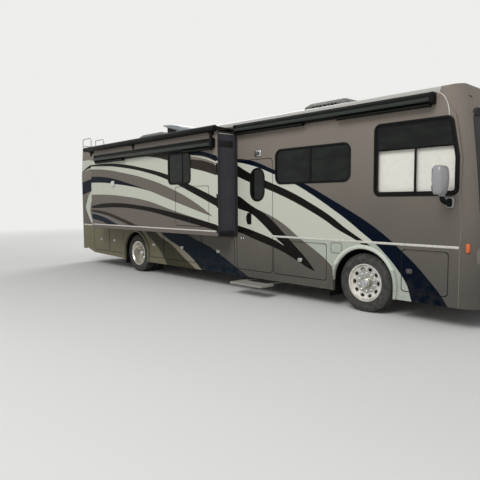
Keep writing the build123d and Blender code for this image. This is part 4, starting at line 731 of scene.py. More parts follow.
# Entry door handle, bolt and small lamps
GRIP = [(-1.30, 1.49), (-1.325, 1.47), (-1.33, 1.41), (-1.318, 1.36)]
build("entry_handle", TRIM, "entry_door",
      [boss(CURB, HALF, -2.53, 1.42, 0.115, 0.22, 0.03,
            [(0, -1), (0, 8), (-8, 14), (-20, 14), (-26, 5)]),
       tube(bend([(at(-2.565), y, z) for y, z in GRIP]), 0.011, 8)])
knob("entry_bolt", TRIM, "entry_door", CURB, HALF, -2.79, 1.63, 0.052, 0.052, 0.024,
     [(0, -1), (0, 12), (-6, 18), (-14, 18)])
for number, x in enumerate((-2.755, -2.69), 1):
    knob(f"step_light_{number}", CHROME, "entry_door", CURB, HALF, x, 1.035, 0.026, 0.026, 0.0125,
         [(0, -1), (0, 8), (-4, 12)])
knob("fuel_flap", PAINTED, "coach", CURB, HALF, -0.5, 0.985, 0.18, 0.13, 0.025, [(0, -1), (0, 3), (-4, 6)])
for name, body, face_y, x, z, width, height, lens in (
    ("porch_light", "coach", HALF, -2.285, 2.635, 0.17, 0.11, SMOKED),
    ("slide_porch_light", "slide_out_curb", SLIDE_Y, -6.84, 2.195, 0.15, 0.15, PALE),
):
    knob(name + "_base", CHROME, body, CURB, face_y, x, z, width, height, 0.03, [(0, -1), (0, 18), (-12, 26)])
    knob(name + "_lens", lens, body, CURB, face_y, x, z, width - 0.04, height - 0.035, 0.025,
         [(0, 24), (-4, 42), (-14, 50), (-26, 53)])
for word, side in SIDES:
    knob(f"side_marker_{word}", AMBER, "coach", side, 1.272, 1.605, 1.112, 0.052, 0.128, 0.025,
         [(0, -1), (0, 22), (-6, 32), (-14, 36)])

# Lug nuts with their studs, and hub caps. Wheels: body, side, axle, middle y, and how far out disc and hub stand
WHEELS = {
    "front_right": ("wheel_front_right", CURB, FRONT_AXLE, 1.112, 0.062, 0.134),
    "front_left": ("wheel_front_left", STREET, FRONT_AXLE, 1.112, 0.062, 0.134),
    "rear_right": ("wheels_rear_right", CURB, REAR_AXLE, 0.950, 0.012, 0.190),
    "rear_left": ("wheels_rear_left", STREET, REAR_AXLE, 0.950, 0.012, 0.190),
}
NUT_CIRCLE_R = 0.1425
# Corners, radius, and how far in and out it reaches from the disc
NUT = ((6, 0.021, 0.0, 0.026), (12, 0.027, 0.0, 0.006), (12, 0.012, 0.026, 0.038))
HUB = ((-0.001, 0.066), (0.012, 0.064), (0.02, 0.056), (0.02, 0.042), (0.012, 0.038), (0.013, 0.02))
for name, (body, side, axle, centre_y, disc, hub) in WHEELS.items():
    forms = []
    for n in range(10):
        a = math.radians(18 + 36 * n)
        x, z = axle + NUT_CIRCLE_R * math.cos(a), AXLE_Z + NUT_CIRCLE_R * math.sin(a)
        y = centre_y + disc - 0.002
        for steps, radius, low, high in NUT:
            levels = ((low, radius), (high - 0.002, radius), (high, radius * 0.85))
            forms.append(skin([circle(x, side * (y + out), z, r, steps) for out, r in levels], CAPPED))
    build(f"lug_nuts_{name}", CHROME, body, forms)
    build(f"hub_cap_{name}", CHROME, body,
          [skin([circle(axle, side * (centre_y + (hub + out)), AXLE_Z, r, 32) for out, r in HUB], CAPPED)])

# Topper sheets over the slides, sagging between wall and roller
SHEET_Z, SHEET_WALL_Y, SHEET_REACH = 3.1805, 1.297, 0.546
for (word, side), (x0, x1) in zip(SIDES, ((-8.097, -2.983), (-6.04, -0.76))):
    rows = []
    across, along = 14, 60
    for i in range(along + 1):
        x = at(x0 + (x1 - x0) * i / along)
        row = []
        for j in range(across + 1):
            t = j / across
            sag = 0.018 * 6.75 * t * (1 - t) ** 2 * (1 - 0.35 * abs(2 * i / along - 1) ** 3)
            ripple = 0.0012 * math.sin(i * 1.9 + j * 0.7) * math.sin(math.pi * t) * (1 - t)
            row.append((x, side * (SHEET_WALL_Y + SHEET_REACH * t), SHEET_Z - sag + ripple))
        rows.append(row)
    cloth = build(f"topper_sheet_{word}", CLOTH, "coach", [sheet(rows)], 80)
    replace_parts(cloth, "topper_fabric")
    side * SHEET_WALL_Y
    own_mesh(cloth)

# Places on the curved caps


def tree_of(name):
    mesh = NODES[name].data
    return BVHTree.FromPolygons([v.co.copy() for v in mesh.vertices], [tuple(p.vertices) for p in mesh.polygons])


TREES = {name: tree_of(name) for name in ("front_cap", "rear_cap", "windshield", "engine_hatch", "roof_shell", "lamps",
                                          "rim_front_left", "rim_front_right")}


def end_face(name, y, z, front):
    """The place and outward normal of a cap at y, z, seen from its end."""
    ahead = Vector((-1, 0, 0)) if front else Vector(AHEAD)
    place, normal, _, _ = TREES[name].ray_cast(Vector((9 if front else -9, y, z)), ahead)
    if normal.dot(ahead) > 0:
        normal = -normal
    return place, normal


def cap_pad(node, y, z, front, *size):
    """A pad seated on a cap."""
    return pad(*end_face(node, y, z, front), UP, *size)


def cling(points, out):
    """Points of a line on the windshield, from y, z places."""
    line = []
    for y, z in points:
        place, normal = end_face("windshield", y, z, True)
        line.append(place + normal * out)
    return line


# Wheel wells: ribbed liners over the tyres, their inner walls and the mud flaps.
# Axle, well radius, inner y of the well, foot of its inner wall, inner y of the flap
WELL_TOP, WELL_Y, FLAP_Y = 1.022, 1.262, 1.25
WELLS = (("front", FRONT_AXLE, 0.62, 0.52, 0.70, 0.86), ("rear", REAR_AXLE, 0.562, 0.60, 0.62, 0.64))
for word, side in SIDES:
    for end, axle, radius, inner, low, flap_in in WELLS:
        angles = [math.radians(-12 + 204 * k / 34) for k in range(35)]
        rows = []
        for k in range(17):
            y = WELL_Y - (WELL_Y - inner) * k / 16
            r = radius - (0.004 if k % 2 else 0)
            rows.append([(axle + r * math.cos(a), side * y, min(AXLE_Z + r * math.sin(a), WELL_TOP - 0.002 * (k % 2)))
                         for a in angles])
        arch = [p for p in rows[-1] if p[2] > low]
        build(f"well_liner_{end}_{word}", RUBBER, "coach",
              [sheet(rows), sheet([arch, [(x, y, low) for x, y, z in arch]])], 50, 0.004)
        rows = []
        for k in range(13):
            z = 0.17 + 0.8 * k / 12
            x = axle - radius - 0.016 - 0.012 * (1 - k / 12) ** 2
            rows.append([(x - 0.003 * (n % 2), side * (flap_in + (FLAP_Y - flap_in) * n / 20), z) for n in range(21)])
        build(f"mud_flap_{end}_{word}", RUBBER, "coach", [sheet(rows)], 50, 0.007)

# Brake drums behind the discs
for name, (body, side, axle, centre_y, disc, hub) in WHEELS.items():
    face = disc - 0.04
    levels = ((face, 0.12), (face, 0.18), (face - 0.01, 0.19), (face - 0.05, 0.19), (face - 0.055, 0.2),
              (disc - 0.11, 0.2))
    build(f"brake_drum_{name}", IRON, body,
          [skin([circle(axle, side * (centre_y + level), AXLE_Z, r, 40) for level, r in levels])])

# Painted shade round and inside the front rims' hand holes: dark rings leaning with the disc between two radii
HOLE_R, DISC_RADII = 0.216, (0.19, 0.242)
for word, side in (("right", CURB), ("left", STREET)):
    spot = math.radians(18)
    level = []
    for radius in DISC_RADII:
        origin = Vector((FRONT_AXLE + radius * math.cos(spot), side * 2, AXLE_Z + radius * math.sin(spot)))
        level.append(abs(TREES[f"rim_front_{word}"].ray_cast(origin, Vector((0, -side, 0)))[0].y))
    lean = math.atan2(level[1] - level[0], 0.052)
    forms = []
    for n in range(10):
        a = math.radians(36 * n)
        outward = Vector((math.cos(a), 0, math.sin(a)))
        normal = Vector((0, side * math.cos(lean), 0)) - outward * math.sin(lean)
        place = Vector((FRONT_AXLE, 0, AXLE_Z)) + outward * HOLE_R + Vector((0, side * (level[0] + level[1]) / 2, 0))
        forms.append(pad(place, normal, (-math.sin(a), 0, math.cos(a)), 0.05, 0.084, 0.024,
                         [(0, -3), (0, 1.8), (-4.5, 2.4), (-5.5, -12)], OPEN))
    build(f"hand_hole_shade_{word}", TRIM, f"wheel_front_{word}", forms)

# Mirrors: bulging shell, glass behind, arm and foot. Shell levels: z, half-width, back, front, corner radius
MIRROR, MIRROR_Y, ARM_Z = 1.36, 1.615, 1.717
SHELL = [
    (1.822, 0.076, -0.038, 0.036, 0.024), (1.832, 0.096, -0.054, 0.056, 0.034), (1.87, 0.110, -0.064, 0.072, 0.046),
    (1.95, 0.121, -0.070, 0.083, 0.055), (2.04, 0.126, -0.073, 0.088, 0.058), (2.11, 0.124, -0.070, 0.083, 0.055),
    (2.165, 0.116, -0.064, 0.072, 0.046), (2.19, 0.102, -0.052, 0.056, 0.034), (2.199, 0.082, -0.036, 0.036, 0.024),
]
ARM = [(1.555, 1.85), (1.553, 1.80), (1.525, 1.752), (1.45, 1.726), (1.37, 1.715), (1.32, 1.712)]
for word, side in SIDES:
    loops = [[(at(MIRROR) + x, side * (MIRROR_Y + y), z)
              for x, y in outline(box_corners(back, front, -half, half), radius)]
             for z, half, back, front, radius in SHELL]
    arm = bend([(at(MIRROR), side * y, z) for y, z in ARM], 5)
    for part, finish, angle, forms in (
        ("shell", SILVER_PAINT, 60, [skin(loops)]),
        ("glass", CHROME, 35,
         [pad((at(MIRROR) - 0.0715, side * MIRROR_Y, z), (-1, 0, 0), UP, 0.18, tall, 0.03,
              [(4, -4), (4, 0), (0, 1.5), (-3, 0.8)]) for z, tall in ((2.065, 0.19), (1.915, 0.08))]),
        ("arm", TRIM, 60,
         [tube(arm, [0.030 + 0.004 * math.sin(math.pi * n / len(arm)) for n in range(len(arm))], 14),
          boss(side, HALF, MIRROR, ARM_Z, 0.084, 0.116, 0.03, [(0, 30), (0, 36), (-12, 50), (-20, 52)])]),
        ("foot", SILVER_PAINT, 60,
         [pad((at(MIRROR), side * 1.555, 1.812), UP, AHEAD, 0.086, 0.082, 0.036,
              [(-6, -12), (0, 0), (0, 16), (-6, 20)]),
          boss(side, HALF, MIRROR, ARM_Z, 0.112, 0.146, 0.034,
               [(0, -1), (0, 20), (-3, 28), (-10, 34), (-20, 36)])]),
    ):
        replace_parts(build(f"mirror_{part}_{word}", finish, "coach", forms, angle), "mirrors")

# Awning cases: lead rail, end caps, folded arms and their knuckles. Body, side, face, ends, heights, depth,
# and lengths of the rear and the front arm
CASES = {
    "patio": ("coach", CURB, HALF, -2.83, 1.12, 3.05, 3.205, 0.125, 1.66, 1.51),
    "slide_curb": ("slide_out_curb", CURB, SLIDE_Y, -7.6, -2.96, 2.765, 2.945, 0.11, 1.35, 0.9),
    "slide_street": ("slide_out_street", STREET, SLIDE_Y, -5.75, -0.85, 2.765, 2.945, 0.11, 1.35, 0.9),
}
# Sections: out from the case and share of its height; for the arms share of its depth and height from its foot
LEAD_RAIL = [(0.0, 0.18), (0.010, 0.2), (0.014, 0.3), (0.014, 0.42), (0.008, 0.5), (0.0, 0.52), (-0.004, 0.35)]
CASE_LIP = [(0.0, 0.86), (0.006, 0.87), (0.009, 0.93), (0.004, 0.97), (-0.004, 0.96)]
ARM_BAR = [(0.35, -0.001), (0.95, -0.001), (0.95, -0.03), (0.85, -0.037), (0.45, -0.037), (0.35, -0.03)]
for name, (body, side, face_y, x0, x1, z0, z1, depth, rear_arm, front_arm) in CASES.items():
    y, tall = side * (face_y + depth), z1 - z0
    build(f"awning_rail_{name}", RAIL, body,
          [bar(x0 + inset, x1 - inset, [(y + side * out, z0 + tall * t) for out, t in section])
           for inset, section in ((0.03, LEAD_RAIL), (0.02, CASE_LIP))])
    build(f"awning_end_caps_{name}", TRIM, body,
          [pad((at(x), side * (face_y + depth / 2 + 0.002), (z0 + z1) / 2), (end, 0, 0), UP,
               depth + 0.004, tall + 0.008, 0.035, [(0, -30), (0, 6), (-8, 14), (-30, 16)])
           for x, end in ((x0, -1), (x1, 1))])
    section = [(side * (face_y + depth * t), z0 + out) for t, out in ARM_BAR]
    arms = [bar(a, b, section) for a, b in ((x0 + 0.03, x0 + 0.03 + rear_arm), (x1 - 0.03 - front_arm, x1 - 0.03))]
    knuckles = [pad((at(x), side * (face_y + depth * 0.65), z0 - 0.034), (0, 0, -1), AHEAD, 0.07, 0.05, 0.02,
                    [(0, -2), (0, 3), (-6, 6)])
                for x in (x0 + 0.05, x0 + rear_arm, x1 - 0.05 - front_arm, x1 - 0.05)]
    build(f"awning_arms_{name}", CASE, body, arms + knuckles)

# Topper roller: end brackets and a bracket half way along
for (word, side), (x0, x1) in zip(SIDES, ((-8.157, -2.873), (-6.1, -0.65))):
    forms = [pad((at(x), side * 1.843, 3.118), (ahead, 0, 0), UP, 0.118, 0.118, 0.056,
                 [(0, -20), (0, 4), (-10, 10), (-34, 12)]) for x, ahead in ((x0, -1), (x1, 1))]
    for x in (x0 + 0.2, (x0 + x1) / 2 - 0.35, x1 - 0.2):
        forms += [pad((at(x), side * SLIDE_Y, 3.02), (0, side, 0), UP, 0.07, 0.15, 0.012,
                      [(0, -1), (0, 12), (-6, 20)]),
                  pad((at(x), side * (SLIDE_Y + 0.03), 3.045), (0, side, 0), UP, 0.05, 0.03, 0.012,
                      [(0, -20), (0, 30), (-8, 36)])]
    build(f"topper_brackets_{word}", TRIM, f"slide_out_{word}", forms)

# Gutter rail along the roof's edge
GUTTER = [(-0.002, 3.206), (0.01, 3.207), (0.016, 3.213), (0.017, 3.224), (0.01, 3.228), (0.008, 3.219),
          (-0.002, 3.217)]
GUTTER_RUNS = (((-9.3, -8.2), (-2.8, 1.1)), ((-9.3, -6.15), (-0.6, 1.1)))
for (word, side), runs in zip(SIDES, GUTTER_RUNS):
    section = [(side * (HALF + out), z) for out, z in GUTTER]
    build(f"gutter_rail_{word}", PALE, "coach", [bar(x0, x1, section) for x0, x1 in runs])

# Dark seams round the doors
SEAM_LINE = [(12, -1), (12, 1.2), (5, 1.8), (4.5, -1)]


def seam(name, body, side, face_y, x0, x1, z0, z1, radius):
    build(name, SEAM, body, [rim(side, face_y, box_corners(x0, x1, z0, z1), radius, SEAM_LINE)])


DOORS = (
    ((-8.834, -7.997), (-7.965, -7.256), (-6.014, -5.436), (-5.394, -4.016), (-3.974, -2.966), (-1.884, -0.706),
     (0.666, 1.344)),
    ((-8.834, -7.256), (-6.014, -4.276), (-4.234, -2.496), (-2.454, -0.706), (0.666, 1.344)),
)
for (word, side), doors in zip(SIDES, DOORS):
    for number, ends in enumerate(doors, 1):
        seam(f"bay_seal_{word}_{number}", "coach", side, HALF, *ends, 0.436, 1.035, 0.04)
seam("fuel_seal", "coach", CURB, HALF, -0.6, -0.4, 0.91, 1.06, 0.03)
seam("entry_seal", "coach", CURB, HALF, -2.879, -1.925, 0.436, 2.524, 0.07)
seam("media_seal", "slide_out_curb", CURB, SLIDE_Y, -4.244, -3.166, 1.266, 2.05, 0.03)

# Bands and roller guide on the slides' front ends
for (word, side), x in zip(SIDES, (-2.923, -0.7)):
    for part, finish, places, width, levels in (
        ("bands", RUBBER, ((3.063, 0.024), (2.848, 0.126), (1.157, 0.05)), 0.008, [(0, -1), (0, 3), (-4, 5)]),
        ("trim", PALE, ((3.04, 0.014),), 0.004, [(0, -1), (0, 3), (-3, 5)]),
    ):
        build(f"slide_end_{part}_{word}", finish, f"slide_out_{word}",
              [pad((at(x), side * 1.55, z), AHEAD, UP, 0.39, tall, width, levels) for z, tall in places])

# Front: painted posts over the glass's edges, a dark band above it, gasket and centre bar
GLASS_LEVEL, TOP_Z = 0.009, 2.985


def nose(y, z, out=0.0):
    """A place on whatever lies foremost at y, z."""
    hits = [TREES[name].ray_cast(Vector((9, y, z)), Vector((-1, 0, 0))) for name in ("front_cap", "windshield")]
    place, normal = max((hit[:2] for hit in hits if hit[0]), key=lambda hit: hit[0].x)
    return place + out * (normal if normal.x > 0 else -normal)


def ahead(x):
    return Vector((x, 0, 0))


def glass_edge(z):
    """Half-width of the glass that shows, at a height."""
    return 1.168 - 0.115 * max(0.0, z - 1.6) / 1.2


for word, side in SIDES:
    rows = []
    for k in range(25):
        z = 1.49 + 1.42 * k / 24
        inner = glass_edge(z) + 0.004
        rows.append([nose(side * (inner + (1.204 - inner) * n / 6), z) + ahead(0.002)
                     + ahead(GLASS_LEVEL if n < 6 else 0) for n in range(7)])
    build(f"windshield_post_{word}", PAINTED, "coach", [sheet(rows)], 60)
rows = []
for k in range(6):
    z = 2.885 + (TOP_Z - 2.885) * k / 5
    half = glass_edge(z) - 0.004 - 0.10 * (k / 5) ** 3
    rows.append([nose(half * n / 20, z, 0.002) + ahead(GLASS_LEVEL if z < 2.9 else 0) for n in range(-20, 21)])
build("windshield_band", TRIM, "coach", [sheet(rows)], 60)
low, high = glass_edge(1.515), glass_edge(TOP_Z)
frame_line = outline([(-low, 1.515), (low, 1.515), (high, TOP_Z), (-high, TOP_Z)], 0.12, 0.0, 8)
loops = []
for (y0, z0), (y1, z1) in zip(frame_line, frame_line[1:] + frame_line[:1]):
    cuts = max(1, int(math.hypot(y1 - y0, z1 - z0) / 0.06))
    for k in range(cuts):
        p = nose(y0 + (y1 - y0) * k / cuts, z0 + (z1 - z0) * k / cuts)
        inward = Vector((p.x, 0, 2.2)) - p
        inward.x = 0
        inward.normalize()
        loops.append([p + inward * a + ahead(b)
                      for a, b in ((-0.012, -0.008), (-0.014, 0.012), (0.0, 0.017), (0.026, 0.014), (0.03, -0.004))])
build("windshield_gasket", RUBBER, "coach", [skin(loops + loops[:1], OPEN)], 50)
build("cowl_trim", PALE, "coach", [tube([nose(y / 20, 1.468, 0.001) for y in range(-23, 24)], 0.009, 8)])
line = cling([(0, 1.53 + 1.34 * k / 14) for k in range(15)], 0.0)
section = ((-0.016, -0.003), (-0.012, 0.006), (0.012, 0.006), (0.016, -0.003))
build("windshield_bar", RUBBER, "coach", [skin([[p + Vector((b, a, 0)) for a, b in section] for p in line])])
forms = []
for y in (0.2, -0.95):
    line = cling([(y + 0.08 + (y + 0.74 - y - 0.08) * k / 12, 1.56 + 0.06 * k / 12) for k in range(13)], 0.016)
    place, normal = end_face("front_cap", y, 1.43, True)
    middle = line[6] + ahead(0.014)
    arm = [place + normal * 0.02, place + normal * 0.045 + Vector((0, 0.03, 0.03)),
           (place + middle) / 2 + Vector((0.04, 0, 0.02)), middle]
    forms += [tube(line, 0.008, 8), tube([p + Vector((-0.008, 0, -0.004)) for p in line], 0.006, 6),
              tube(bend(arm), 0.010, 8), pad(place, normal, UP, 0.06, 0.06, 0.026, [(0, -2), (0, 20), (-8, 30)])]
build("wipers", TRIM, "coach", forms)

# Lamps: y and z, with their sizes
HEADLAMPS = [(side * y, size) for side in (CURB, STREET) for y, size in ((1.1, 0.13), (0.9, 0.15))]
build("headlamp_rings", CHROME, "coach",
      [cap_pad("lamps", y, 1.005, True, size, size, size / 2 - 0.001,
               [(12, -12), (12, 3), (4, 7), (-4, 5), (-12, -4)])
       for y, size in HEADLAMPS])
build("headlamp_domes", LENS, "coach",
      [cap_pad("lamps", y, 1.005, True, size - 0.02, size - 0.02, size / 2 - 0.012,
               [(0, -4), (-4, 4), (-18, 10), (-40, 12.5)]) for y, size in HEADLAMPS])
build("clearance_lamps_front", SMOKED, "coach",
      [cap_pad("front_cap", y, z, True, 0.06, 0.05, 0.022,
               [(4, -12), (4, 4), (-1, 6), (-5, 14), (-14, 18)])
       for y, z in ((-1.016, 3.153), (-0.2, 3.2), (0, 3.2), (0.2, 3.2), (1.016, 3.153))])
build("clearance_lamps_rear", RED, "coach",
      [cap_pad("rear_cap", y, z, False, 0.11, 0.042, 0.018, [(0, -12), (0, 8), (-5, 16), (-14, 20)])
       for y, z in ((-1.1, 3.1), (-0.24, 3.16), (0, 3.16), (0.24, 3.16), (1.1, 3.1))])

# Rear: lamp bezels, hatch louvres, latches, bare plate recess, camera hood, exhaust
build("tail_lamp_bezels", CHROME, "coach",
      [cap_pad("lamps", side * 1.095, 1.22, False, 0.17, 0.48, 0.05,
               [(14, -20), (14, 2), (8, 8), (-2, 6), (-6, -4)])
       for side in (CURB, STREET)])
build("hatch_louvres", TRIM, "engine_hatch",
      [cap_pad("engine_hatch", y, 1.27 - row * 0.045, False, 0.52, 0.026, 0.01,
               [(2, -6), (2, 4), (-4, 14), (-9, 15)])
       for row in range(7) for y in (-0.38, 0.38)])
build("plate_recess", TRIM, "engine_hatch",
      [cap_pad("engine_hatch", 0, 0.76, False, 0.36, 0.2, 0.02,
               [(12, -6), (12, 10), (4, 14), (-4, 12), (-8, 2)])])
build("hatch_latches", CHROME, "engine_hatch",
      [cap_pad("engine_hatch", y, 0.64, False, *size) for y in (-0.6, 0.6)
       for size in ((0.12, 0.085, 0.03, CUP), (0.06, 0.045, 0.012, PADDLE))])
build("rear_camera", TRIM, "coach",
      [cap_pad("rear_cap", 0, 2.98, False, 0.11, 0.07, 0.02, [(0, -10), (0, 45), (-8, 55), (-20, 50)])])
PIPE = [(-4.3, 0.62, 0.5), (-4.7, 0.66, 0.44), (-5.2, 0.7, 0.37), (-5.6, 0.7, 0.35), (-5.72, 0.7, 0.345)]
build("exhaust", METAL, "coach", [tube(bend(PIPE), 0.05, 16, OPEN)], thick=0.004)
build("driveline", CHASSIS, "coach",
      [tube([(-4.15, 0, 0.62), (-3.5, 0, 0.58), (-2.8, 0, 0.53)], 0.045, 16),
       tube([(-4.1, 0.25, 0.42), (-3.45, 0.25, 0.42)], 0.12, 20),
       tube([(1, 0, 0.42), (2.2, 0, 0.42)], 0.14, 20)])

# Roof: shroud louvres and plumbing vents
forms = []
for rear in (-8.05, -2.08):
    forms += [pad((at(rear + 0.34 + k * 0.085), side * 0.352, 3.49), (0, side, 0), UP, 0.05, 0.085, 0.012,
                  [(0, -6), (0, 6), (-5, 9)]) for side in (CURB, STREET) for k in range(7)]
    forms += [pad((at(rear) + 0.012, y, 3.49), (-1, 0, 0), UP, 0.06, 0.09, 0.012,
                  [(0, -20), (0, 8), (-5, 12)]) for y in (-0.2, -0.1, 0, 0.1, 0.2)]
build("shroud_louvres", TRIM, "coach", forms)
forms = []
for x, y in ((-3.4, 0.5), (-6.3, 0.55), (-4.6, -0.35)):
    place = TREES["roof_shell"].ray_cast(Vector((at(x), y, 5)), Vector((0, 0, -1)))[0]
    forms.append(pad(place, UP, AHEAD, 0.13, 0.13, 0.064,
                     [(0, -10), (0, 10), (-20, 16), (-24, 50), (-10, 55), (-8, 75), (-30, 85)]))
build("plumbing_vents", PALE, "coach", forms)

# Roof vent lid: bulging hood, lining, sides with mesh; each side is from, to, foot and gap under the lid
VENT_HINGE, VENT_TILT = Vector((at(-5.2) - 0.014, -0.56, 3.394)), math.radians(14)
BACK = Vector((-math.cos(VENT_TILT), 0, math.sin(VENT_TILT)))
RISE = Vector((math.sin(VENT_TILT), 0, math.cos(VENT_TILT)))
LID_SLOPE = math.tan(VENT_TILT)
HOOD = [(0.016, 0.02), (0.03, 0.045), (0.08, 0.076), (0.15, 0.098), (0.25, 0.107), (0.38, 0.100), (0.52, 0.085),
        (0.66, 0.061), (0.735, 0.045), (0.75, 0.03)]
loops = []
for gone, tall in HOOD:
    floor_z = VENT_HINGE.z + gone * LID_SLOPE + 0.001
    loops.append([(VENT_HINGE.x - gone, VENT_HINGE.y + 0.326 * t, floor_z + tall * (1 - abs(t) ** 4) ** 0.35)
                  for t in (-1 + 2 * n / 24 for n in range(25))])
lining = pad(VENT_HINGE + BACK * 0.381, RISE, BACK, 0.60, 0.70, 0.06, [(0, -8), (0, -1), (-30, 0)])


def vent_side(start, end, low, gap, outs):
    """The lid's two sides, as slabs between two ways out from its middle."""
    top0, top1 = (VENT_HINGE.z + d * LID_SLOPE - gap for d in (start, end))
    line = outline([(start, low), (end, low), (end, top1), (start, top0)], 0.006, 0, 3)
    return [skin([[(VENT_HINGE.x - d, VENT_HINGE.y + edge * (0.256 + out), z) for d, z in line] for out in outs])
            for edge in (-1, 1)]


for name, finish, forms, angle in (
    ("vent_hood", VENT, [skin(loops)], 50),
    ("vent_lining", TRIM, [lining], 40),
    ("vent_sides", VENT, vent_side(0.07, 0.65, 3.362, 0.006, (0, 0.006)), 35),
    ("vent_side_mesh", TRIM, vent_side(0.30, 0.632, 3.374, 0.018, (0.005, 0.0075)), 35),
):
    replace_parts(build(name, finish, "roof_vent_lid", forms, angle), "roof_vent_lid")
build("vent_screen", TRIM, "coach", [pad((at(-5.575), -0.56, 3.35), UP, AHEAD, 0.49, 0.62, 0.02, [(0, -30), (0, -4)])])

# Cab: bulkhead, blinds and seats
WALL = (-4.253, 0, 2.16)
forms = [pad(WALL, AHEAD, UP, 2.488, 2.098, 0.004, levels) for levels in ([(0, 0), (0, 30)], [(0, 30), (0, 0)])]
forms += [pad((-4.223, y, 2.16), AHEAD, UP, 1.0, 1.8, 0.03,
              [(0, -1), (0, 6), (-10, 10), (-30, 4), (-36, 4)]) for y in (-0.62, 0.62)]
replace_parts(build("bulkhead", INTERIOR, "coach", forms), "interior_fittings")
BLIND_Z, BLIND_X, PLEATS = (1.816, 2.499), (0.192, 1.246), 54
for word, side in SIDES:
    rows = []
    for k in range(PLEATS + 1):
        z = BLIND_Z[0] + (BLIND_Z[1] - BLIND_Z[0]) * k / PLEATS
        row = []
        for n in range(41):
            ripple = 0.0008 * math.sin(n * 0.9 + k * 0.4)
            y = side * (1.2385 + (0.005 if k % 2 else 0) + ripple)
            row.append((at(BLIND_X[0] + BLIND_X[1] * n / 40), y, z))
        rows.append(row)
    blind = build(f"blind_{word}", BLIND, "coach", [sheet(rows)], 80)
    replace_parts(blind, "interior_fittings")

# Cushions: room kept for the stuffing to swell into, size of their voxels, depth of the sewn lines
SWELL, VOXEL, SEWN = 0.014, 0.009, 0.009


def settled(piece):
    return bpy.data.meshes.new_from_object(piece.evaluated_get(bpy.context.evaluated_depsgraph_get()))


def swell(piece, cap):
    """Stuff a closed form: cloth with pressure and no gravity, each point held within cap of where it was."""
    voxels = piece.modifiers.new("voxels", "REMESH")
    voxels.mode, voxels.voxel_size = "VOXEL", VOXEL
    piece.data = settled(piece)
    piece.modifiers.clear()
    cloth = piece.modifiers.new("stuffing", "CLOTH")
    cloth.settings.use_pressure = True
    cloth.settings.uniform_pressure_force = 4
    cloth.settings.effector_weights.gravity = 0
    for step in range(1, 21):
        bpy.context.scene.frame_set(step)
    after = settled(piece)
    piece.modifiers.clear()
    bpy.context.scene.frame_set(1)
    for here, there in zip(piece.data.vertices, after.vertices):
        move = there.co - here.co
        if move.length > cap:
            move *= cap / move.length
        here.co += move


def cushion(name, low, high, radius, thin, channels=()):
    """A stuffed pad between two corners: thin is the axis across it, channels are (axis, place) sewn lines."""
    a, b = [n for n in range(3) if n != thin]
    loops = []
    depth = high[thin] - low[thin]
    for t, grow in ((0, -0.05), (0.02, -0.024), (0.14, -0.006), (0.36, 0), (0.64, 0), (0.86, -0.006), (0.98, -0.024),
                    (1, -0.05)):
        loop = []
        box = box_corners(low[a] + SWELL, high[a] - SWELL, low[b] + SWELL, high[b] - SWELL)
        for u, v in outline(box, radius, grow):
            point = [0, 0, 0]
            point[a], point[b], point[thin] = u, v, low[thin] + SWELL + (depth - 2 * SWELL) * t
            loop.append(point)
        loops.append(loop)
    piece = build(name, LEATHER, "coach", [skin(loops)], 80)
    swell(piece, SWELL * 0.85)
    mesh = piece.data
    middle = (low[thin] + high[thin]) / 2
    for vertex in mesh.vertices:
        for axis, place in channels:
            gap = (vertex.co[axis] - place) / SEWN
            side = 1 if vertex.co[thin] > middle else -1
            vertex.co[thin] -= side * SEWN * math.exp(-gap * gap)
        ridge = (vertex.co[thin] - middle) / 0.006
        for axis in (a, b):
            centre = (low[axis] + high[axis]) / 2
            away = (vertex.co[axis] - centre) / (high[axis] - low[axis]) * 2
            if abs(away) > 0.93:
                vertex.co[axis] -= math.copysign(0.005, away) * math.exp(-ridge * ridge)
    for face in mesh.polygons:
        face.use_smooth = True
    if not mesh.materials:
        mesh.materials.append(LEATHER.mat)
    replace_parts(piece, "cab_seats")


SEAT_Y, CHANNEL = 0.64, 0.14
for word, side in SIDES:
    y = side * SEAT_Y
    channels = [(1, y - CHANNEL), (1, y + CHANNEL)]
    cushion(f"seat_cushion_{word}", (at(0.26), y - 0.265, 1.392), (at(0.775), y + 0.265, 1.545), 0.06, 2,
            channels + [(0, at(0.62))])
    cushion(f"seat_back_{word}", (at(0.2), y - 0.245, 1.545), (at(0.34), y + 0.245, 2.075), 0.07, 0,
            channels + [(2, 1.78)])
    cushion(f"seat_headrest_{word}", (at(0.215), y - 0.15, 2.085), (at(0.33), y + 0.15, 2.255), 0.06, 0)
    forms = [pad((at(0.515), y, 1.11), UP, AHEAD, 0.34, 0.33, 0.03,
                 [(20, 0), (20, 20), (0, 30), (-20, 120), (-20, 240), (0, 270), (30, 278)])]
    forms += [tube(bend([(at(0.27), y + edge * 0.255, 1.5), (at(0.27), y + edge * 0.262, 1.7),
                         (at(0.29), y + edge * 0.262, 1.76)]), 0.012, 8) for edge in (-1, 1)]
    forms += [tube([(at(0.27), y + lean, 2.06), (at(0.27), y + lean, 2.1)], 0.008, 8) for lean in (-0.07, 0.07)]
    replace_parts(build(f"seat_frame_{word}", TRIM, "coach", forms), "cab_seats")

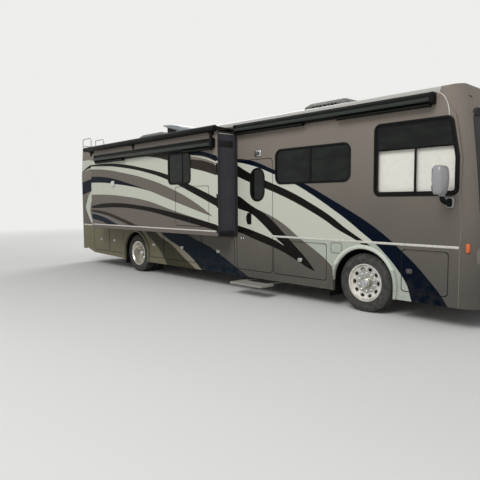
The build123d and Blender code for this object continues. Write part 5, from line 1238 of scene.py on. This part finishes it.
# Floor and light
BACKGROUND, SKY = rgb(238, 238, 236), (0.95, 0.97, 1.0, 1)
LIGHTS = [("key", (6, -14, 13), 9, 1500), ("fill", (-10, 10, 10), 9, 900)]


def add_stage():
    mesh = bpy.data.meshes.new("floor")
    shape = bmesh.new()
    bmesh.ops.create_circle(shape, cap_ends=True, radius=150, segments=96)
    shape.to_mesh(mesh)
    floor = bpy.data.objects.new("floor", mesh)
    bpy.context.scene.collection.objects.link(floor)
    f = Finish("floor", rgb(226, 225, 222), Roughness=0.9, Specular_IOR_Level=0.1)
    x, y, z = f.xyz()
    glow = f.add("ShaderNodeEmission")
    glow.inputs[0].default_value = BACKGROUND
    blend = f.feed("ShaderNodeMixShader", (f.length(x, y).span(8.0, 26.0), f.shader.outputs[0], glow.outputs[0]))
    f.put(f.tree.nodes["Material Output"].inputs[0], blend)
    mesh.materials.append(f.mat)

    world = bpy.data.worlds.new("world")
    bpy.context.scene.world = world
    world.use_nodes = True
    nodes, link = world.node_tree.nodes, world.node_tree.links.new
    seen, lit = nodes["Background"], nodes.new("ShaderNodeBackground")
    for node, colour, strength in ((seen, BACKGROUND, 1.0), (lit, SKY, 0.48)):
        node.inputs[0].default_value, node.inputs[1].default_value = colour, strength
    rays = nodes.new("ShaderNodeLightPath").outputs
    plainly = rays["Is Camera Ray"]
    for ray in ("Is Transmission Ray", "Is Glossy Ray"):
        either = nodes.new("ShaderNodeMath")
        either.operation = "MAXIMUM"
        link(plainly, either.inputs[0])
        link(rays[ray], either.inputs[1])
        plainly = either.outputs[0]
    mix = nodes.new("ShaderNodeMixShader")
    for number, output in enumerate((plainly, lit.outputs[0], seen.outputs[0])):
        link(output, mix.inputs[number])
    link(mix.outputs[0], nodes["World Output"].inputs[0])
    for name, place, size, power in LIGHTS:
        data = bpy.data.lights.new(name, "AREA")
        data.shape, data.size, data.energy = "DISK", size, power
        lamp = bpy.data.objects.new(name, data)
        bpy.context.scene.collection.objects.link(lamp)
        lamp.location = place
        lamp.rotation_euler = (Vector(UP) - Vector(place)).to_track_quat("-Z", "Y").to_euler()


bpy.context.scene.view_settings.view_transform = "Standard"
add_stage()
